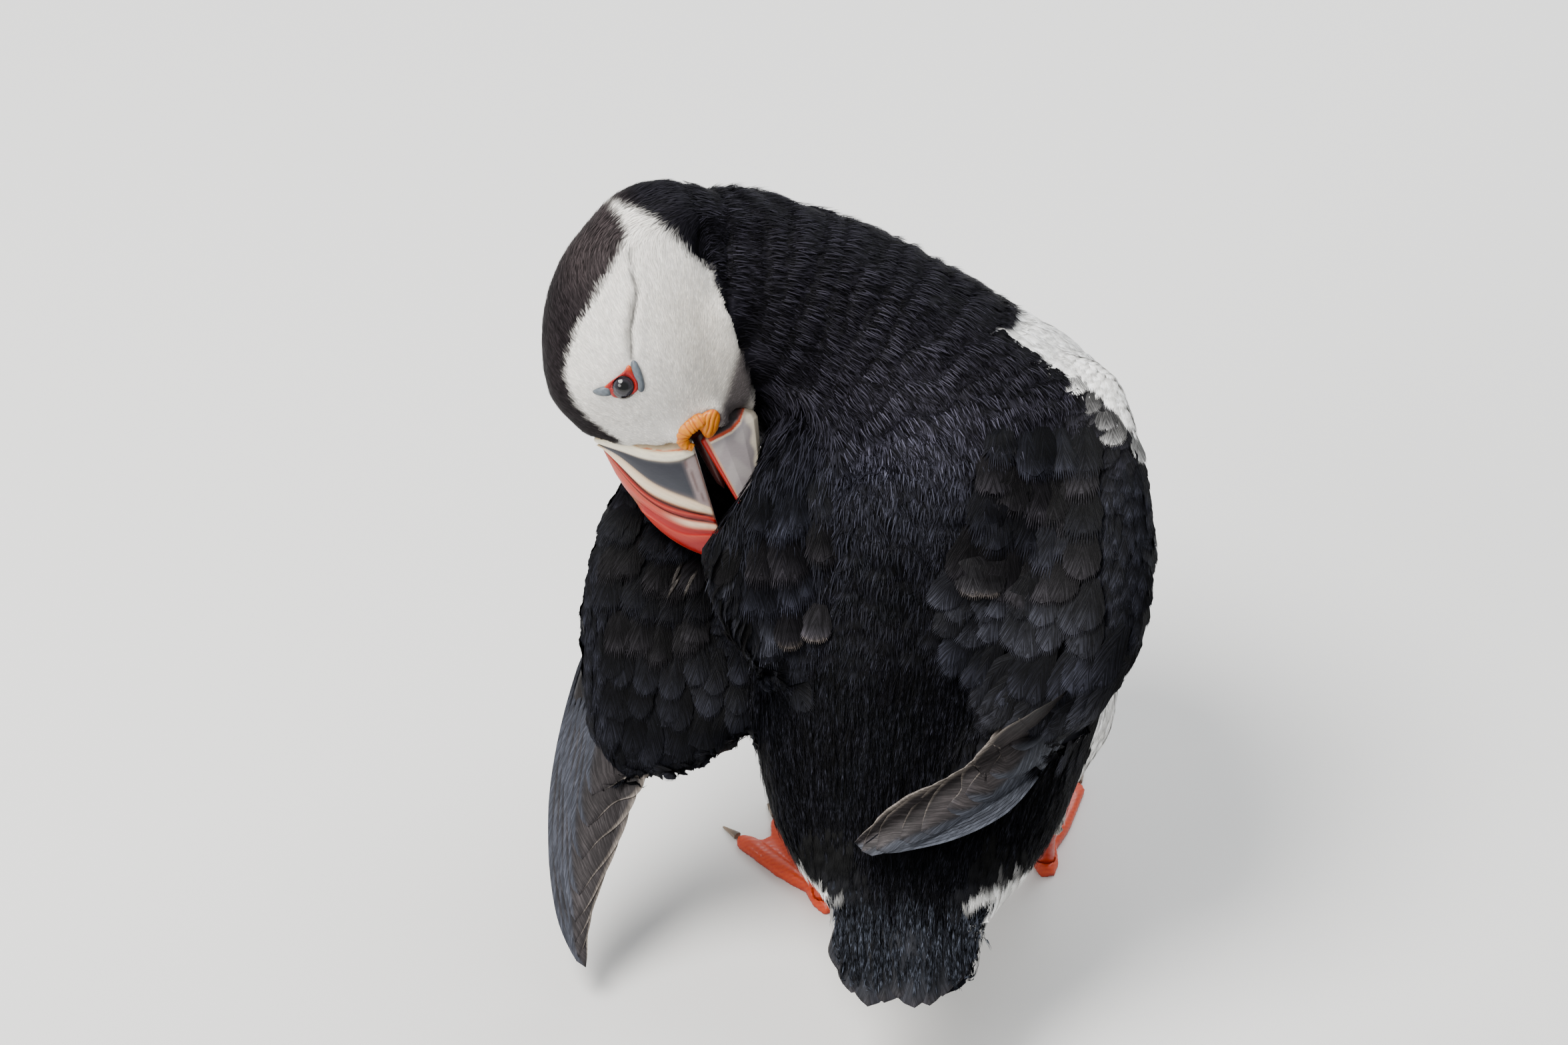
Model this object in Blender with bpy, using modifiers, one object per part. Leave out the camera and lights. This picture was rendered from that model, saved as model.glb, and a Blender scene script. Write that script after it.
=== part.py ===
"""Atlantic puffin, life size, standing on both feet and preening over its left shoulder.

The bird faces +Y and leans forward, so that its back makes a slope. Places are given on that slope, in
millimetres, as (across, along, out): across to the bird's right, along up the back from the feet to the
nape, and out of the back. The head has a frame of its own: along the bill, up to the crown, and to its left.
"""

import math

import bmesh
import bpy
import numpy as np
from mathutils import Vector

MM = 0.001

# The slope of the back, and the shift that puts the origin under the middle of the bird's box.
LEAN = math.radians(38.0)
ACROSS = Vector((1.0, 0.0, 0.0))
ALONG = Vector((0.0, math.sin(LEAN), math.cos(LEAN)))
OUT = Vector((0.0, -math.cos(LEAN), math.sin(LEAN)))
SHIFT = Vector((22.3, 1.8, 0.0))

# Head frame: the middle of the skull, and the ways to the bill tip, to the crown and to the left cheek.
SKULL = (-83.0, 166.0, 66.0)
TO_BILL = (0.285, -0.950, -0.120)
TO_CROWN = (-0.958, -0.287, 0.0)

GAP = 0.35  # clearance that touching pieces keep
WING_GAP = 0.7  # the same between the thin ends of a wing and what they lie on
RING = 20  # points round a body section

# Stations from the root of the tail to the back of the skull:
# across, along, out, half width, half depth.
TRUNK_LINE = (
    (-5, -12, 92, 22, 6),
    (-4, 0, 85, 34, 13),
    (-2.5, 20, 73, 45.5, 25),
    (0.5, 45, 60, 52.5, 37),
    (7, 72, 49, 57, 46),
    (10, 98, 43, 60, 50),
    (10, 117, 39, 55, 49),
    (2, 135, 37, 48, 45),
    (-12, 151, 39, 39, 39),
    (-30, 164, 43, 34.5, 34),
    (-52, 172, 49, 31, 30),
    (-70, 174, 56, 26, 24),
)

# Head stations: place along the bill's line, height of the middle, half height, half thickness.
HEAD_LINE = (
    (-37, -9, 9, 9),
    (-32, -9, 17, 15),
    (-25, -5, 23, 19),
    (-14, -1.5, 28.5, 22.5),
    (0, 1.5, 31.5, 24),
    (14, 3.2, 32, 23),
    (22, 3.5, 29.5, 20.5),
    (28, 2.2, 26.5, 17.5),
    (33, 0.8, 22.5, 14),
    (38, -1, 18, 10.5),
    (41, -2, 14, 8),
)

EYE_AT = (18.0, 11.7)
EYE_RADIUS = 4.6
EYE_OUT = 17.2

# Bill: where the upper half leaves the skull and where it ends, and its greatest half thickness.
BILL_ROOT, BILL_TIP = 31.4, 78.2
CULMEN_ROOT, CUT_EDGE = 24.3, -3.6
BILL_HALF = 8.2
LOWER_OPEN = math.radians(-14.0)
LOWER_LENGTH, LOWER_DEPTH = 36.0, 18.0

VOXEL = 2.4
FLESH_FACES = 2000


def on_slope(across, along, out):
    return (ACROSS * across + ALONG * along + OUT * out + SHIFT) * MM


def slope_way(across, along, out):
    return (ACROSS * across + ALONG * along + OUT * out).normalized()


BILL_WAY = slope_way(*TO_BILL)
CROWN_WAY = slope_way(*TO_CROWN)
LEFT_WAY = CROWN_WAY.cross(BILL_WAY).normalized()


def on_head(ahead, up, left):
    return on_slope(*SKULL) + (BILL_WAY * ahead + CROWN_WAY * up + LEFT_WAY * left) * MM


def smooth_stations(stations, steps):
    """The stations as a table, with Catmull-Rom values between them."""
    rows = np.array(stations, float)
    padded = np.vstack([2 * rows[0] - rows[1], rows, 2 * rows[-1] - rows[-2]])
    found = []
    for i in range(1, len(rows)):
        before, here, there, after = padded[i - 1 : i + 3]
        for step in range(steps):
            t = step / steps
            found.append(
                0.5 * (2 * here + (there - before) * t)
                + 0.5 * (2 * before - 5 * here + 4 * there - after) * t**2
                + 0.5 * (3 * here - before - 3 * there + after) * t**3
            )
    found.append(rows[-1])
    return np.array(found)


def section(middle, side, depth, half_side, half_depth, count=RING, power=2.15):
    """A closed ring of points, a little squarer than an ellipse."""
    points = []
    for k in range(count):
        c, s = math.cos(math.tau * k / count), math.sin(math.tau * k / count)
        a = math.copysign(abs(c) ** (2 / power), c) * half_side * MM
        b = math.copysign(abs(s) ** (2 / power), s) * half_depth * MM
        points.append(middle + side * a + depth * b)
    return points


def collection(name):
    found = bpy.data.collections.get(name)
    if found is None:
        found = bpy.data.collections.new(name)
        bpy.context.scene.collection.children.link(found)
    return found


def add_object(name, mesh, group="puffin"):
    made = bpy.data.objects.new(name, mesh)
    collection(group).objects.link(made)
    return made


def loft(name, rings, first=None, last=None):
    """A skin over rings of equal count, with each end closed by a fan to a point."""
    bm = bmesh.new()
    loops = [[bm.verts.new(p) for p in ring] for ring in rings]
    for a, b in zip(loops, loops[1:]):
        for i in range(len(a)):
            j = (i + 1) % len(a)
            bm.faces.new((a[i], a[j], b[j], b[i]))
    for loop, point in ((loops[0], first), (loops[-1], last)):
        middle = point or sum((v.co for v in loop), Vector()) / len(loop)
        pole = bm.verts.new(middle)
        for i in range(len(loop)):
            bm.faces.new((loop[i], loop[(i + 1) % len(loop)], pole))
    bmesh.ops.recalc_face_normals(bm, faces=bm.faces)
    mesh = bpy.data.meshes.new(name)
    bm.to_mesh(mesh)
    bm.free()
    return add_object(name, mesh)


def slope_loft(name, stations, steps=2, count=RING, power=2.15, end_points=(None, None)):
    """A loft whose sections stand square to its line.

    A station may have a sixth number, the angle in degrees that its section is turned about the line.
    """
    rows = smooth_stations(stations, steps)
    middles = [on_slope(*row[:3]) for row in rows]
    rings = []
    for i, row in enumerate(rows):
        way = (middles[min(i + 1, len(rows) - 1)] - middles[max(i - 1, 0)]).normalized()
        depth = (OUT - way * OUT.dot(way)).normalized()
        side = way.cross(depth).normalized()
        turn = math.radians(row[5]) if len(row) > 5 else 0.0
        depth, side = (
            depth * math.cos(turn) + side * math.sin(turn),
            side * math.cos(turn) - depth * math.sin(turn),
        )
        rings.append(section(middles[i], side, depth, row[3], row[4], count, power))
    ends = [on_slope(*point) if point else None for point in end_points]
    return loft(name, rings, *ends)


def evaluated_copy(obj, name, group="puffin"):
    """A plain mesh object of what obj's modifiers give."""
    bpy.context.view_layer.update()
    graph = bpy.context.evaluated_depsgraph_get()
    mesh = bpy.data.meshes.new_from_object(obj.evaluated_get(graph))
    mesh.transform(obj.matrix_world)
    return add_object(name, mesh, group)


def settled(obj):
    """obj with its modifiers applied, its points merged and only its largest body kept."""
    name = obj.name
    obj.name = name + "_rough"
    made = evaluated_copy(obj, name)
    bpy.data.objects.remove(obj)
    bm = bmesh.new()
    bm.from_mesh(made.data)
    bmesh.ops.remove_doubles(bm, verts=bm.verts, dist=0.02 * MM)
    bmesh.ops.dissolve_degenerate(bm, edges=bm.edges, dist=0.02 * MM)
    largest, seen = set(), set()
    for face in bm.faces:
        if face in seen:
            continue
        body, queue = set(), [face]
        while queue:
            here = queue.pop()
            if here in body:
                continue
            body.add(here)
            for edge in here.edges:
                if len(edge.link_faces) == 2:
                    queue.extend(edge.link_faces)
        seen |= body
        largest = max(largest, body, key=len)
    bmesh.ops.delete(bm, geom=[f for f in bm.faces if f not in largest], context="FACES")
    bm.to_mesh(made.data)
    bm.free()
    return made


def grown(obj, by):
    """A cutter: obj's shape with its surface moved out, so that what it cuts keeps clear of obj."""
    cutter = evaluated_copy(obj, "cutter_" + obj.name, "cutters")
    bm = bmesh.new()
    bm.from_mesh(cutter.data)
    bm.normal_update()
    moves = [(v, v.co + v.normal * by * MM * min(2.0, v.calc_shell_factor())) for v in bm.verts]
    for vert, place in moves:
        vert.co = place
    bm.to_mesh(cutter.data)
    bm.free()
    cutter.hide_render = True
    cutter.display_type = "WIRE"
    return cutter


def carve(obj, *others, gap=GAP):
    """Cuts each other object's grown shape out of obj."""
    for other in others:
        cut = obj.modifiers.new("clear_of_" + other.name, "BOOLEAN")
        cut.operation = "DIFFERENCE"
        cut.object = grown(other, gap)
    return settled(obj)


def halves(obj, name_under, name_over, point, way):
    """Parts obj by a thin plane cut into the piece under it and the piece over it."""
    made = []
    for name, sign in ((name_under, 1), (name_over, -1)):
        mesh = obj.data.copy()
        bm = bmesh.new()
        bm.from_mesh(mesh)
        bmesh.ops.bisect_plane(
            bm,
            geom=bm.verts[:] + bm.edges[:] + bm.faces[:],
            plane_co=point - way * sign * GAP / 2 * MM,
            plane_no=way * sign,
            clear_outer=True,
        )
        rim = [e for e in bm.edges if len(e.link_faces) == 1]
        bmesh.ops.holes_fill(bm, edges=rim, sides=0)
        bmesh.ops.triangulate(bm, faces=[f for f in bm.faces if len(f.verts) > 4])
        bmesh.ops.recalc_face_normals(bm, faces=bm.faces)
        bm.to_mesh(mesh)
        bm.free()
        made.append(add_object(name, mesh))
    bpy.data.objects.remove(obj)
    return made


def finish(obj, colour, roughness=0.8, metallic=0.0):
    material = bpy.data.materials.get("mat_" + obj.name) or bpy.data.materials.new("mat_" + obj.name)
    material.use_nodes = True
    shader = material.node_tree.nodes["Principled BSDF"]
    shader.inputs["Base Color"].default_value = (*colour, 1.0)
    shader.inputs["Roughness"].default_value = roughness
    shader.inputs["Metallic"].default_value = metallic
    material.diffuse_color = (*colour, 1.0)
    obj.data.materials.clear()
    obj.data.materials.append(material)
    obj.data.shade_smooth()
    obj.data.set_sharp_from_angle(angle=math.radians(40))
    return obj


# ---------------------------------------------------------------- flesh: trunk, neck and head


def make_head_bulb():
    rings = []
    for ahead, up, half_up, half_left in smooth_stations(HEAD_LINE, 2):
        rings.append(
            section(on_head(ahead, up, 0), CROWN_WAY, LEFT_WAY, half_up, half_left, RING, 2.0)
        )
    return loft("head_bulb", rings, on_head(-39, -9, 0), on_head(43, -2, 0))


def make_flesh():
    """Trunk, neck and head as one smooth body."""
    trunk = slope_loft("flesh", TRUNK_LINE, steps=3)
    bulb = make_head_bulb()
    bm = bmesh.new()
    bm.from_mesh(trunk.data)
    bm.from_mesh(bulb.data)
    bm.to_mesh(trunk.data)
    bm.free()
    bpy.data.objects.remove(bulb)
    remesh = trunk.modifiers.new("one_skin", "REMESH")
    remesh.mode = "VOXEL"
    remesh.voxel_size = VOXEL * MM
    smooth = trunk.modifiers.new("soften", "SMOOTH")
    smooth.factor, smooth.iterations = 0.5, 8
    whole = settled(trunk)
    fewer = whole.modifiers.new("fewer_faces", "DECIMATE")
    fewer.ratio = FLESH_FACES / (2 * len(whole.data.polygons))
    return settled(whole)


# ---------------------------------------------------------------- bill, gape and eyes


def culmen(share):
    """Height of the bill's upper outline, from its root (0) to its tip (1)."""
    drop = 1 - 0.45 * share - 0.55 * share**5
    return CUT_EDGE + 0.9 + (CULMEN_ROOT - CUT_EDGE - 0.9) * drop


def make_bill_upper():
    rings = []
    count = 15
    for k in range(count):
        share = k / (count - 1) * 0.985
        ahead = BILL_ROOT - 4 + (BILL_TIP - BILL_ROOT + 4) * share
        top = culmen(max(0.0, (ahead - BILL_ROOT) / (BILL_TIP - BILL_ROOT)))
        half = BILL_HALF * (1 - share**1.6) ** 0.8 + 0.9
        low = CUT_EDGE + 0.35
        ring = []
        for up_share, wide in ((1, 0.16), (0.86, 0.42), (0.6, 0.72), (0.3, 0.93), (0.04, 1.0), (0, 0.8)):
            ring.append((low + (top - low) * up_share, half * wide))
        rings.append(
            [on_head(ahead, up, left) for up, left in ring]
            + [on_head(ahead, up, -left) for up, left in reversed(ring)]
        )
    return loft("bill_upper", rings)


def make_bill_lower():
    """A deep wedge, opened downwards at the corner of the mouth."""
    rings = []
    count = 12
    for k in range(count):
        share = k / (count - 1) * 0.97
        ahead = -4 + (LOWER_LENGTH + 4) * share
        half = (BILL_HALF - 1.2) * (1 - share**1.8) ** 0.8 + 0.9
        start = 1 - max(0.0, 0.22 - share) * 0.9
        deep = LOWER_DEPTH * start * (1 - max(0.0, share - 0.18) / 0.82) ** 0.85 + 1.0
        ring = []
        for down_share, wide in ((0, 0.85), (0.05, 1.0), (0.35, 0.95), (0.7, 0.68), (0.92, 0.4), (1, 0.2)):
            ring.append((-deep * down_share, half * wide))
        turned = []
        for up, left in ring:
            a = ahead * math.cos(LOWER_OPEN) - up * math.sin(LOWER_OPEN) + 39.0
            b = ahead * math.sin(LOWER_OPEN) + up * math.cos(LOWER_OPEN) + CUT_EDGE - 1.6
            turned.append((a, b, left))
        rings.append(
            [on_head(a, b, left) for a, b, left in turned]
            + [on_head(a, b, -left) for a, b, left in reversed(turned)]
        )
    return loft("bill_lower", rings)


def make_eye(name, side):
    bm = bmesh.new()
    bmesh.ops.create_uvsphere(bm, u_segments=12, v_segments=8, radius=EYE_RADIUS * MM)
    for vert in bm.verts:
        vert.co += on_head(EYE_AT[0], EYE_AT[1], side * EYE_OUT)
    mesh = bpy.data.meshes.new(name)
    bm.to_mesh(mesh)
    bm.free()
    return add_object(name, mesh)


def make_rosette(name, side):
    """The wrinkled yellow fold round the corner of the mouth: an arch of two lobes."""
    arch = ((39, -1), (36, 1), (31.5, -1.5), (29.8, -6.5), (31, -11.5), (34.5, -14), (38.5, -13))
    rings = []
    for i, (ahead, up) in enumerate(arch):
        before, after = arch[max(i - 1, 0)], arch[min(i + 1, len(arch) - 1)]
        way = (BILL_WAY * (after[0] - before[0]) + CROWN_WAY * (after[1] - before[1])).normalized()
        inward = way.cross(LEFT_WAY).normalized()
        fat = 2.6 + 0.7 * math.sin(math.pi * i / (len(arch) - 1))
        left = side * (12.2 - 0.28 * max(0.0, ahead - 29))
        rings.append(section(on_head(ahead, up, left), inward, LEFT_WAY, fat, 2.6, 10, 2.0))
    return loft(name, rings)


# ---------------------------------------------------------------- wings, shoulder and tail


def make_wing_left_arm():
    """The drooped upper wing with its coverts, from the shoulder down beside the flank."""
    line = (
        (-64, 126, 31, 13, 5, -10),
        (-69, 110, 38, 24.5, 9, -14),
        (-73.5, 89, 46, 28.5, 10, -14),
        (-74, 64, 53, 29.5, 9.5, 0),
        (-73, 45, 58, 28, 7.5, 10),
        (-70, 33, 61, 20, 4.5, 14),
    )
    return slope_loft("wing_left_arm", line, end_points=((-61, 131, 29), (-69, 28, 62)))


def make_wing_left_hand():
    """The flight feathers of the drooped wing, hanging down past the tail's side."""
    line = (
        (-88, 58, 48, 12, 2.2, 6),
        (-92, 44, 50, 14, 2.4, 10),
        (-96, 28, 51, 13.5, 2.2, 12),
        (-100, 8, 52, 11, 1.8, 14),
        (-102.5, -9, 53, 8, 1.4, 14),
        (-102.5, -21, 55, 5, 1.1, 14),
        (-101, -26, 56, 2.6, 0.8, 14),
    )
    return slope_loft("wing_left_hand", line, count=16, power=2.0, end_points=(None, (-100.5, -28, 56.5)))


def make_scapular_left():
    """The flap of long shoulder feathers that lies over the bill's tip, its left edge raised by it."""
    line = (
        (-29, 132, 60, 15, 6, -24),
        (-35, 122, 67, 21, 9, -24),
        (-39, 106, 72, 26, 10, -24),
        (-40, 88, 76, 27, 9.5, -22),
        (-38, 72, 78, 24, 8, -16),
        (-35, 62, 80, 16, 5, -12),
    )
    return slope_loft("scapular_left", line, end_points=((-26, 138, 57), (-34, 58, 81)))


def make_wing_right_arm():
    """The folded right wing and shoulder, wrapped over the flank."""
    line = (
        (38, 150, 55, 8, 6, 28),
        (41, 138, 62, 18, 9, 28),
        (43, 118, 69, 26, 12, 28),
        (41, 96, 76, 31, 13.5, 28),
        (36, 74, 82, 32.5, 13, 28),
        (31, 58, 85, 27.5, 11, 28),
        (28, 46, 89, 19, 7, 28),
    )
    return slope_loft("wing_right_arm", line, end_points=((36, 155, 52), (29, 41, 91)))


def make_wing_right_hand():
    """The folded flight feathers, crossing over the rump to the left."""
    line = (
        (46, 50, 82, 12, 3.2),
        (36, 43.5, 89.5, 13, 3.0),
        (22, 35, 97, 12.5, 2.5),
        (7, 25.5, 100.5, 10.5, 2.0),
        (-5, 16.5, 101.5, 8, 1.5),
        (-14, 10.5, 102, 5, 1.2),
        (-18, 8, 102, 2.4, 0.9),
    )
    return slope_loft("wing_right_hand", line, count=16, power=2.0, end_points=(None, (-19.5, 7, 102)))


def make_tail():
    line = (
        (-3, 14, 84, 22, 6.5),
        (-4, 0, 90, 27, 6),
        (-5, -14, 95, 24, 4),
        (-5.5, -26, 98, 21, 2.6),
        (-6, -35, 100, 17, 1.7),
        (-6, -39, 101, 11, 1.1),
    )
    return slope_loft("tail", line, power=2.2, end_points=(None, (-6, -41, 101.3)))


# ---------------------------------------------------------------- legs and feet

# Each foot: where its toes meet, how far it turns outwards, and where the thigh leaves the body.
FEET = {
    "left": {"heel": (-28.5, -21.0), "aim": 21.0, "knee": (-24.0, 9.0)},
    "right": {"heel": (40.0, -4.0), "aim": -4.0, "knee": (29.0, 18.0)},
}
# Each toe: its angle outwards from the middle one, in degrees, and its length.
TOES = {"inner": (-24.0, 32.0), "middle": (0.0, 41.0), "outer": (21.0, 39.0)}
TOE_HALF, TOE_TALL, WEB_TALL = 3.0, 4.6, 1.5
TOE_REACH, CLAW_LENGTH = 1.02, 7.0
# Across one toe: offset, reach and rise of its top.
TOE_ARCH = ((-1, 0.95, 0.35), (-0.55, 1, 0.85), (0, TOE_REACH, 1), (0.55, 1, 0.85), (1, 0.95, 0.35))
HEEL_PAD, HEEL_WIDE = 5.0, 8.0
ANKLE_BACK, ANKLE_TALL = 9.0, 25.0
THIGH_TALL = 66.0


def toe_way(which, toe):
    """Unit vector of a toe on the ground. Outwards is left for the left foot and right for the right."""
    outward = -1 if which == "left" else 1
    turn = math.radians(FEET[which]["aim"] + TOES[toe][0])
    return Vector((outward * math.sin(turn), math.cos(turn), 0.0))


def ground(x, y, z):
    return Vector((x, y, z)) * MM + SHIFT * MM


def foot_columns():
    """Columns across the foot, inner side first: toe-way angle, offset, length and how far the top rises.

    Each toe has five, from one side of it to the other, and each web has two between two toes.
    """
    names = tuple(TOES)
    columns = []
    for i, toe in enumerate(names):
        angle, length = TOES[toe]
        for offset, reach, rise in TOE_ARCH:
            columns.append((angle, offset * TOE_HALF, length * reach, rise))
        if i + 1 < len(names):
            next_angle, next_length = TOES[names[i + 1]]
            for share, reach in ((0.35, 0.86), (0.65, 0.86)):
                mean = length + (next_length - length) * share
                columns.append((angle + (next_angle - angle) * share, 0.0, mean * reach, 0.0))
    return columns


def make_foot(which):
    """Three toes joined by a web, flat underneath: a top and a sole over one fan of columns."""
    heel = Vector((*FEET[which]["heel"], 0.0))
    outward = -1 if which == "left" else 1
    columns = foot_columns()
    rows = (-1.0, 0.0, 0.2, 0.36, 0.52, 0.68, 0.84, 1.0)  # shares of the toes' length; below 0 is the heel
    middle_way = toe_way(which, "middle")
    middle_side = Vector((middle_way.y, -middle_way.x, 0.0)) * outward
    bm = bmesh.new()
    top, sole = [], []
    for row in rows:
        top_row, sole_row = [], []
        for k, (angle, offset, length, rise) in enumerate(columns):
            turn = math.radians(FEET[which]["aim"] + angle)
            way = Vector((outward * math.sin(turn), math.cos(turn), 0.0))
            side = Vector((outward * math.cos(turn), -math.sin(turn), 0.0))
            across = k / (len(columns) - 1) - 0.5
            if row <= 0:
                wide = HEEL_WIDE * (1 + 0.45 * row)
                place = heel + middle_way * HEEL_PAD * row + middle_side * across * wide
                height = (TOE_TALL + 0.6) * (1 - 0.8 * abs(2 * across) ** 3) * (1 + 0.5 * row)
            else:
                spread = offset * min(1.0, length * row / 17.0)
                place = heel + way * length * row + side * spread
                knuckle = 1 + 0.10 * math.cos(row * 5 * math.pi)
                toe_height = TOE_TALL * knuckle * (1 - 0.35 * row) * (0.7 if row == 1.0 else 1.0)
                web_height = WEB_TALL + max(0.0, 0.4 - row) * 6.0
                height = web_height + max(0.0, toe_height - web_height) * rise
            top_row.append(bm.verts.new(ground(place.x, place.y, max(height, 0.9))))
            sole_row.append(bm.verts.new(ground(place.x, place.y, 0.0)))
        top.append(top_row)
        sole.append(sole_row)
    last = len(columns) - 1
    for i in range(len(rows) - 1):
        for k in range(last):
            bm.faces.new((top[i][k], top[i][k + 1], top[i + 1][k + 1], top[i + 1][k]))
            bm.faces.new((sole[i][k], sole[i + 1][k], sole[i + 1][k + 1], sole[i][k + 1]))
        for k in (0, last):
            bm.faces.new((top[i][k], top[i + 1][k], sole[i + 1][k], sole[i][k]))
    for i in (0, len(rows) - 1):
        for k in range(last):
            bm.faces.new((top[i][k], top[i][k + 1], sole[i][k + 1], sole[i][k]))
    bmesh.ops.recalc_face_normals(bm, faces=bm.faces)
    mesh = bpy.data.meshes.new("foot_" + which)
    bm.to_mesh(mesh)
    bm.free()
    return add_object("foot_" + which, mesh)


def make_claw(which, toe):
    heel = Vector((*FEET[which]["heel"], 0.0))
    way = toe_way(which, toe)
    side = way.cross(Vector((0, 0, 1)))
    rings = []
    for share in (0.0, 0.35, 0.7, 1.0):
        middle = heel + way * (TOES[toe][1] * TOE_REACH + GAP + CLAW_LENGTH * share)
        half = 1.5 * (1 - 0.72 * share)
        high = 2.4 * (1 - 0.25 * share**2) * (1 - 0.55 * share)
        rings.append(
            [
                ground(middle.x, middle.y, 0.1)
                + side * half * math.cos(t) * MM
                + Vector((0, 0, high / 2 * (1 + math.sin(t)) * MM))
                for t in (math.tau * k / 8 for k in range(8))
            ]
        )
    return loft(f"claw_{which}_{toe}", rings)


def make_tarsus(which):
    heel = Vector((*FEET[which]["heel"], 0.0))
    way = toe_way(which, "middle")
    rings = []
    for share, half in ((0.0, 3.8), (0.2, 3.2), (0.55, 2.9), (0.85, 3.6), (1.0, 3.9), (1.1, 3.2)):
        middle = heel - way * (ANKLE_BACK * share - 2)
        place = ground(middle.x, middle.y, 2.4 + (ANKLE_TALL - 2.4) * share)
        up = (Vector((0, 0, ANKLE_TALL)) - way * ANKLE_BACK).normalized()
        side = way.cross(Vector((0, 0, 1)))
        rings.append(section(place, side, side.cross(up).normalized(), half * 0.8, half, 10, 2.0))
    return loft("tarsus_" + which, rings)


def make_thigh(which):
    """The feathered leg, from the belly down to the ankle."""
    heel = Vector((*FEET[which]["heel"], 0.0))
    ankle = heel - toe_way(which, "middle") * (ANKLE_BACK - 2)
    low = ankle + Vector((0, 0, ANKLE_TALL - 4))
    high = Vector((*FEET[which]["knee"], THIGH_TALL - 4))
    rings = []
    for share, half in ((0.0, 5.0), (0.12, 8.0), (0.35, 12.5), (0.65, 17.0), (1.0, 19.0)):
        place = low + (high - low) * share
        rings.append(section(ground(*place), ACROSS, Vector((0, 1, 0)), half * 0.85, half, 16, 2.0))
    return loft("thigh_" + which, rings)


# ---------------------------------------------------------------- the whole bird


def clear_scene():
    for obj in list(bpy.data.objects):
        bpy.data.objects.remove(obj)


def main():
    clear_scene()
    flesh = make_flesh()
    wing_left_arm = carve(make_wing_left_arm(), flesh)
    wing_right_arm = carve(make_wing_right_arm(), flesh)
    eyes = [make_eye("eye_left", 1), make_eye("eye_right", -1)]
    bill_upper = carve(make_bill_upper(), wing_left_arm)
    bill_lower = carve(make_bill_lower(), bill_upper, wing_left_arm)
    bill = (bill_upper, bill_lower)
    rosettes = [carve(make_rosette(f"rosette_{s}", k), *bill) for s, k in (("left", 1), ("right", -1))]
    scapular = carve(make_scapular_left(), flesh, *bill, wing_left_arm)
    left_hand = carve(make_wing_left_hand(), wing_left_arm, flesh, gap=WING_GAP)
    right_hand = carve(make_wing_right_hand(), wing_right_arm, flesh, gap=WING_GAP)
    tail = carve(make_tail(), flesh)
    flesh = carve(flesh, *bill, *eyes, *rosettes)

    trunk, rest = halves(flesh, "trunk", "neck_and_head", on_slope(2, 138, 37), slope_way(-0.3, 0.954, 0))
    neck_way = slope_way(-0.95, -0.31, 0)
    neck, head = halves(rest, "neck", "head", on_slope(-60, 172, 50), neck_way)

    legs = []
    for which in FEET:
        thigh = carve(make_thigh(which), trunk, tail)
        tarsus = carve(make_tarsus(which), thigh)
        foot = carve(make_foot(which), tarsus)
        claws = [make_claw(which, toe) for toe in TOES]
        legs += [thigh, tarsus, foot, *claws]

    black, white, orange = (0.012, 0.012, 0.016), (0.80, 0.78, 0.74), (0.85, 0.13, 0.02)
    for obj in (trunk, neck, wing_left_arm, wing_right_arm, scapular, tail):
        finish(obj, black, 0.75)
    for obj in (left_hand, right_hand):
        finish(obj, (0.045, 0.043, 0.045), 0.6)
    finish(head, white, 0.85)
    finish(bill_upper, (0.75, 0.06, 0.02), 0.3)
    finish(bill_lower, (0.30, 0.28, 0.29), 0.35)
    for obj in rosettes:
        finish(obj, (0.9, 0.42, 0.02), 0.45)
    for obj in eyes:
        finish(obj, (0.05, 0.05, 0.06), 0.05)
    for obj in legs:
        kind = obj.name.split("_")[0]
        finish(obj, {"thigh": white, "claw": (0.03, 0.03, 0.03)}.get(kind, orange), 0.5)


main()
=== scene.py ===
"""Looks of the life-size Atlantic puffin that stands and preens over its left shoulder.

Places are given on the slope of the bird's back, in millimetres: across to its right, along up the back,
and out of the back. The head has its own frame: ahead along the bill, up to the crown, and to its left.
"""

import math

import bmesh
import bpy
import numpy as np
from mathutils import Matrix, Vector
from mathutils.bvhtree import BVHTree
from mathutils.kdtree import KDTree


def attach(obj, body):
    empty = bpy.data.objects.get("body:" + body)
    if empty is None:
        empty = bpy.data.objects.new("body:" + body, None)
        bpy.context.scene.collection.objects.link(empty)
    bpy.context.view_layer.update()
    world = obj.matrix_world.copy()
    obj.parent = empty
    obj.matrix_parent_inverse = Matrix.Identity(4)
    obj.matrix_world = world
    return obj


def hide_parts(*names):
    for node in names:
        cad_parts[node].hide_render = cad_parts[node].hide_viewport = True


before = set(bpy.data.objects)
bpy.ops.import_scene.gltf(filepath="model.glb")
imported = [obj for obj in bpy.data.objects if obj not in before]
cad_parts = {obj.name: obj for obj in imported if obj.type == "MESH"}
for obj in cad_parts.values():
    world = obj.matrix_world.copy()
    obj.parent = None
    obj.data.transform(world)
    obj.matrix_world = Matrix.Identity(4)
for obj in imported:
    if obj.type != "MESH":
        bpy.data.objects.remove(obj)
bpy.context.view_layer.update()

MM = 0.001

# ---------------------------------------------------------------- the bird's own frames

LEAN = math.radians(38.0)
ACROSS = np.array((1.0, 0.0, 0.0))
ALONG = np.array((0.0, math.sin(LEAN), math.cos(LEAN)))
OUT = np.array((0.0, -math.cos(LEAN), math.sin(LEAN)))
SLOPE = np.array((ACROSS, ALONG, OUT))
SHIFT = np.array((22.3, 1.8, 0.0))

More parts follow.
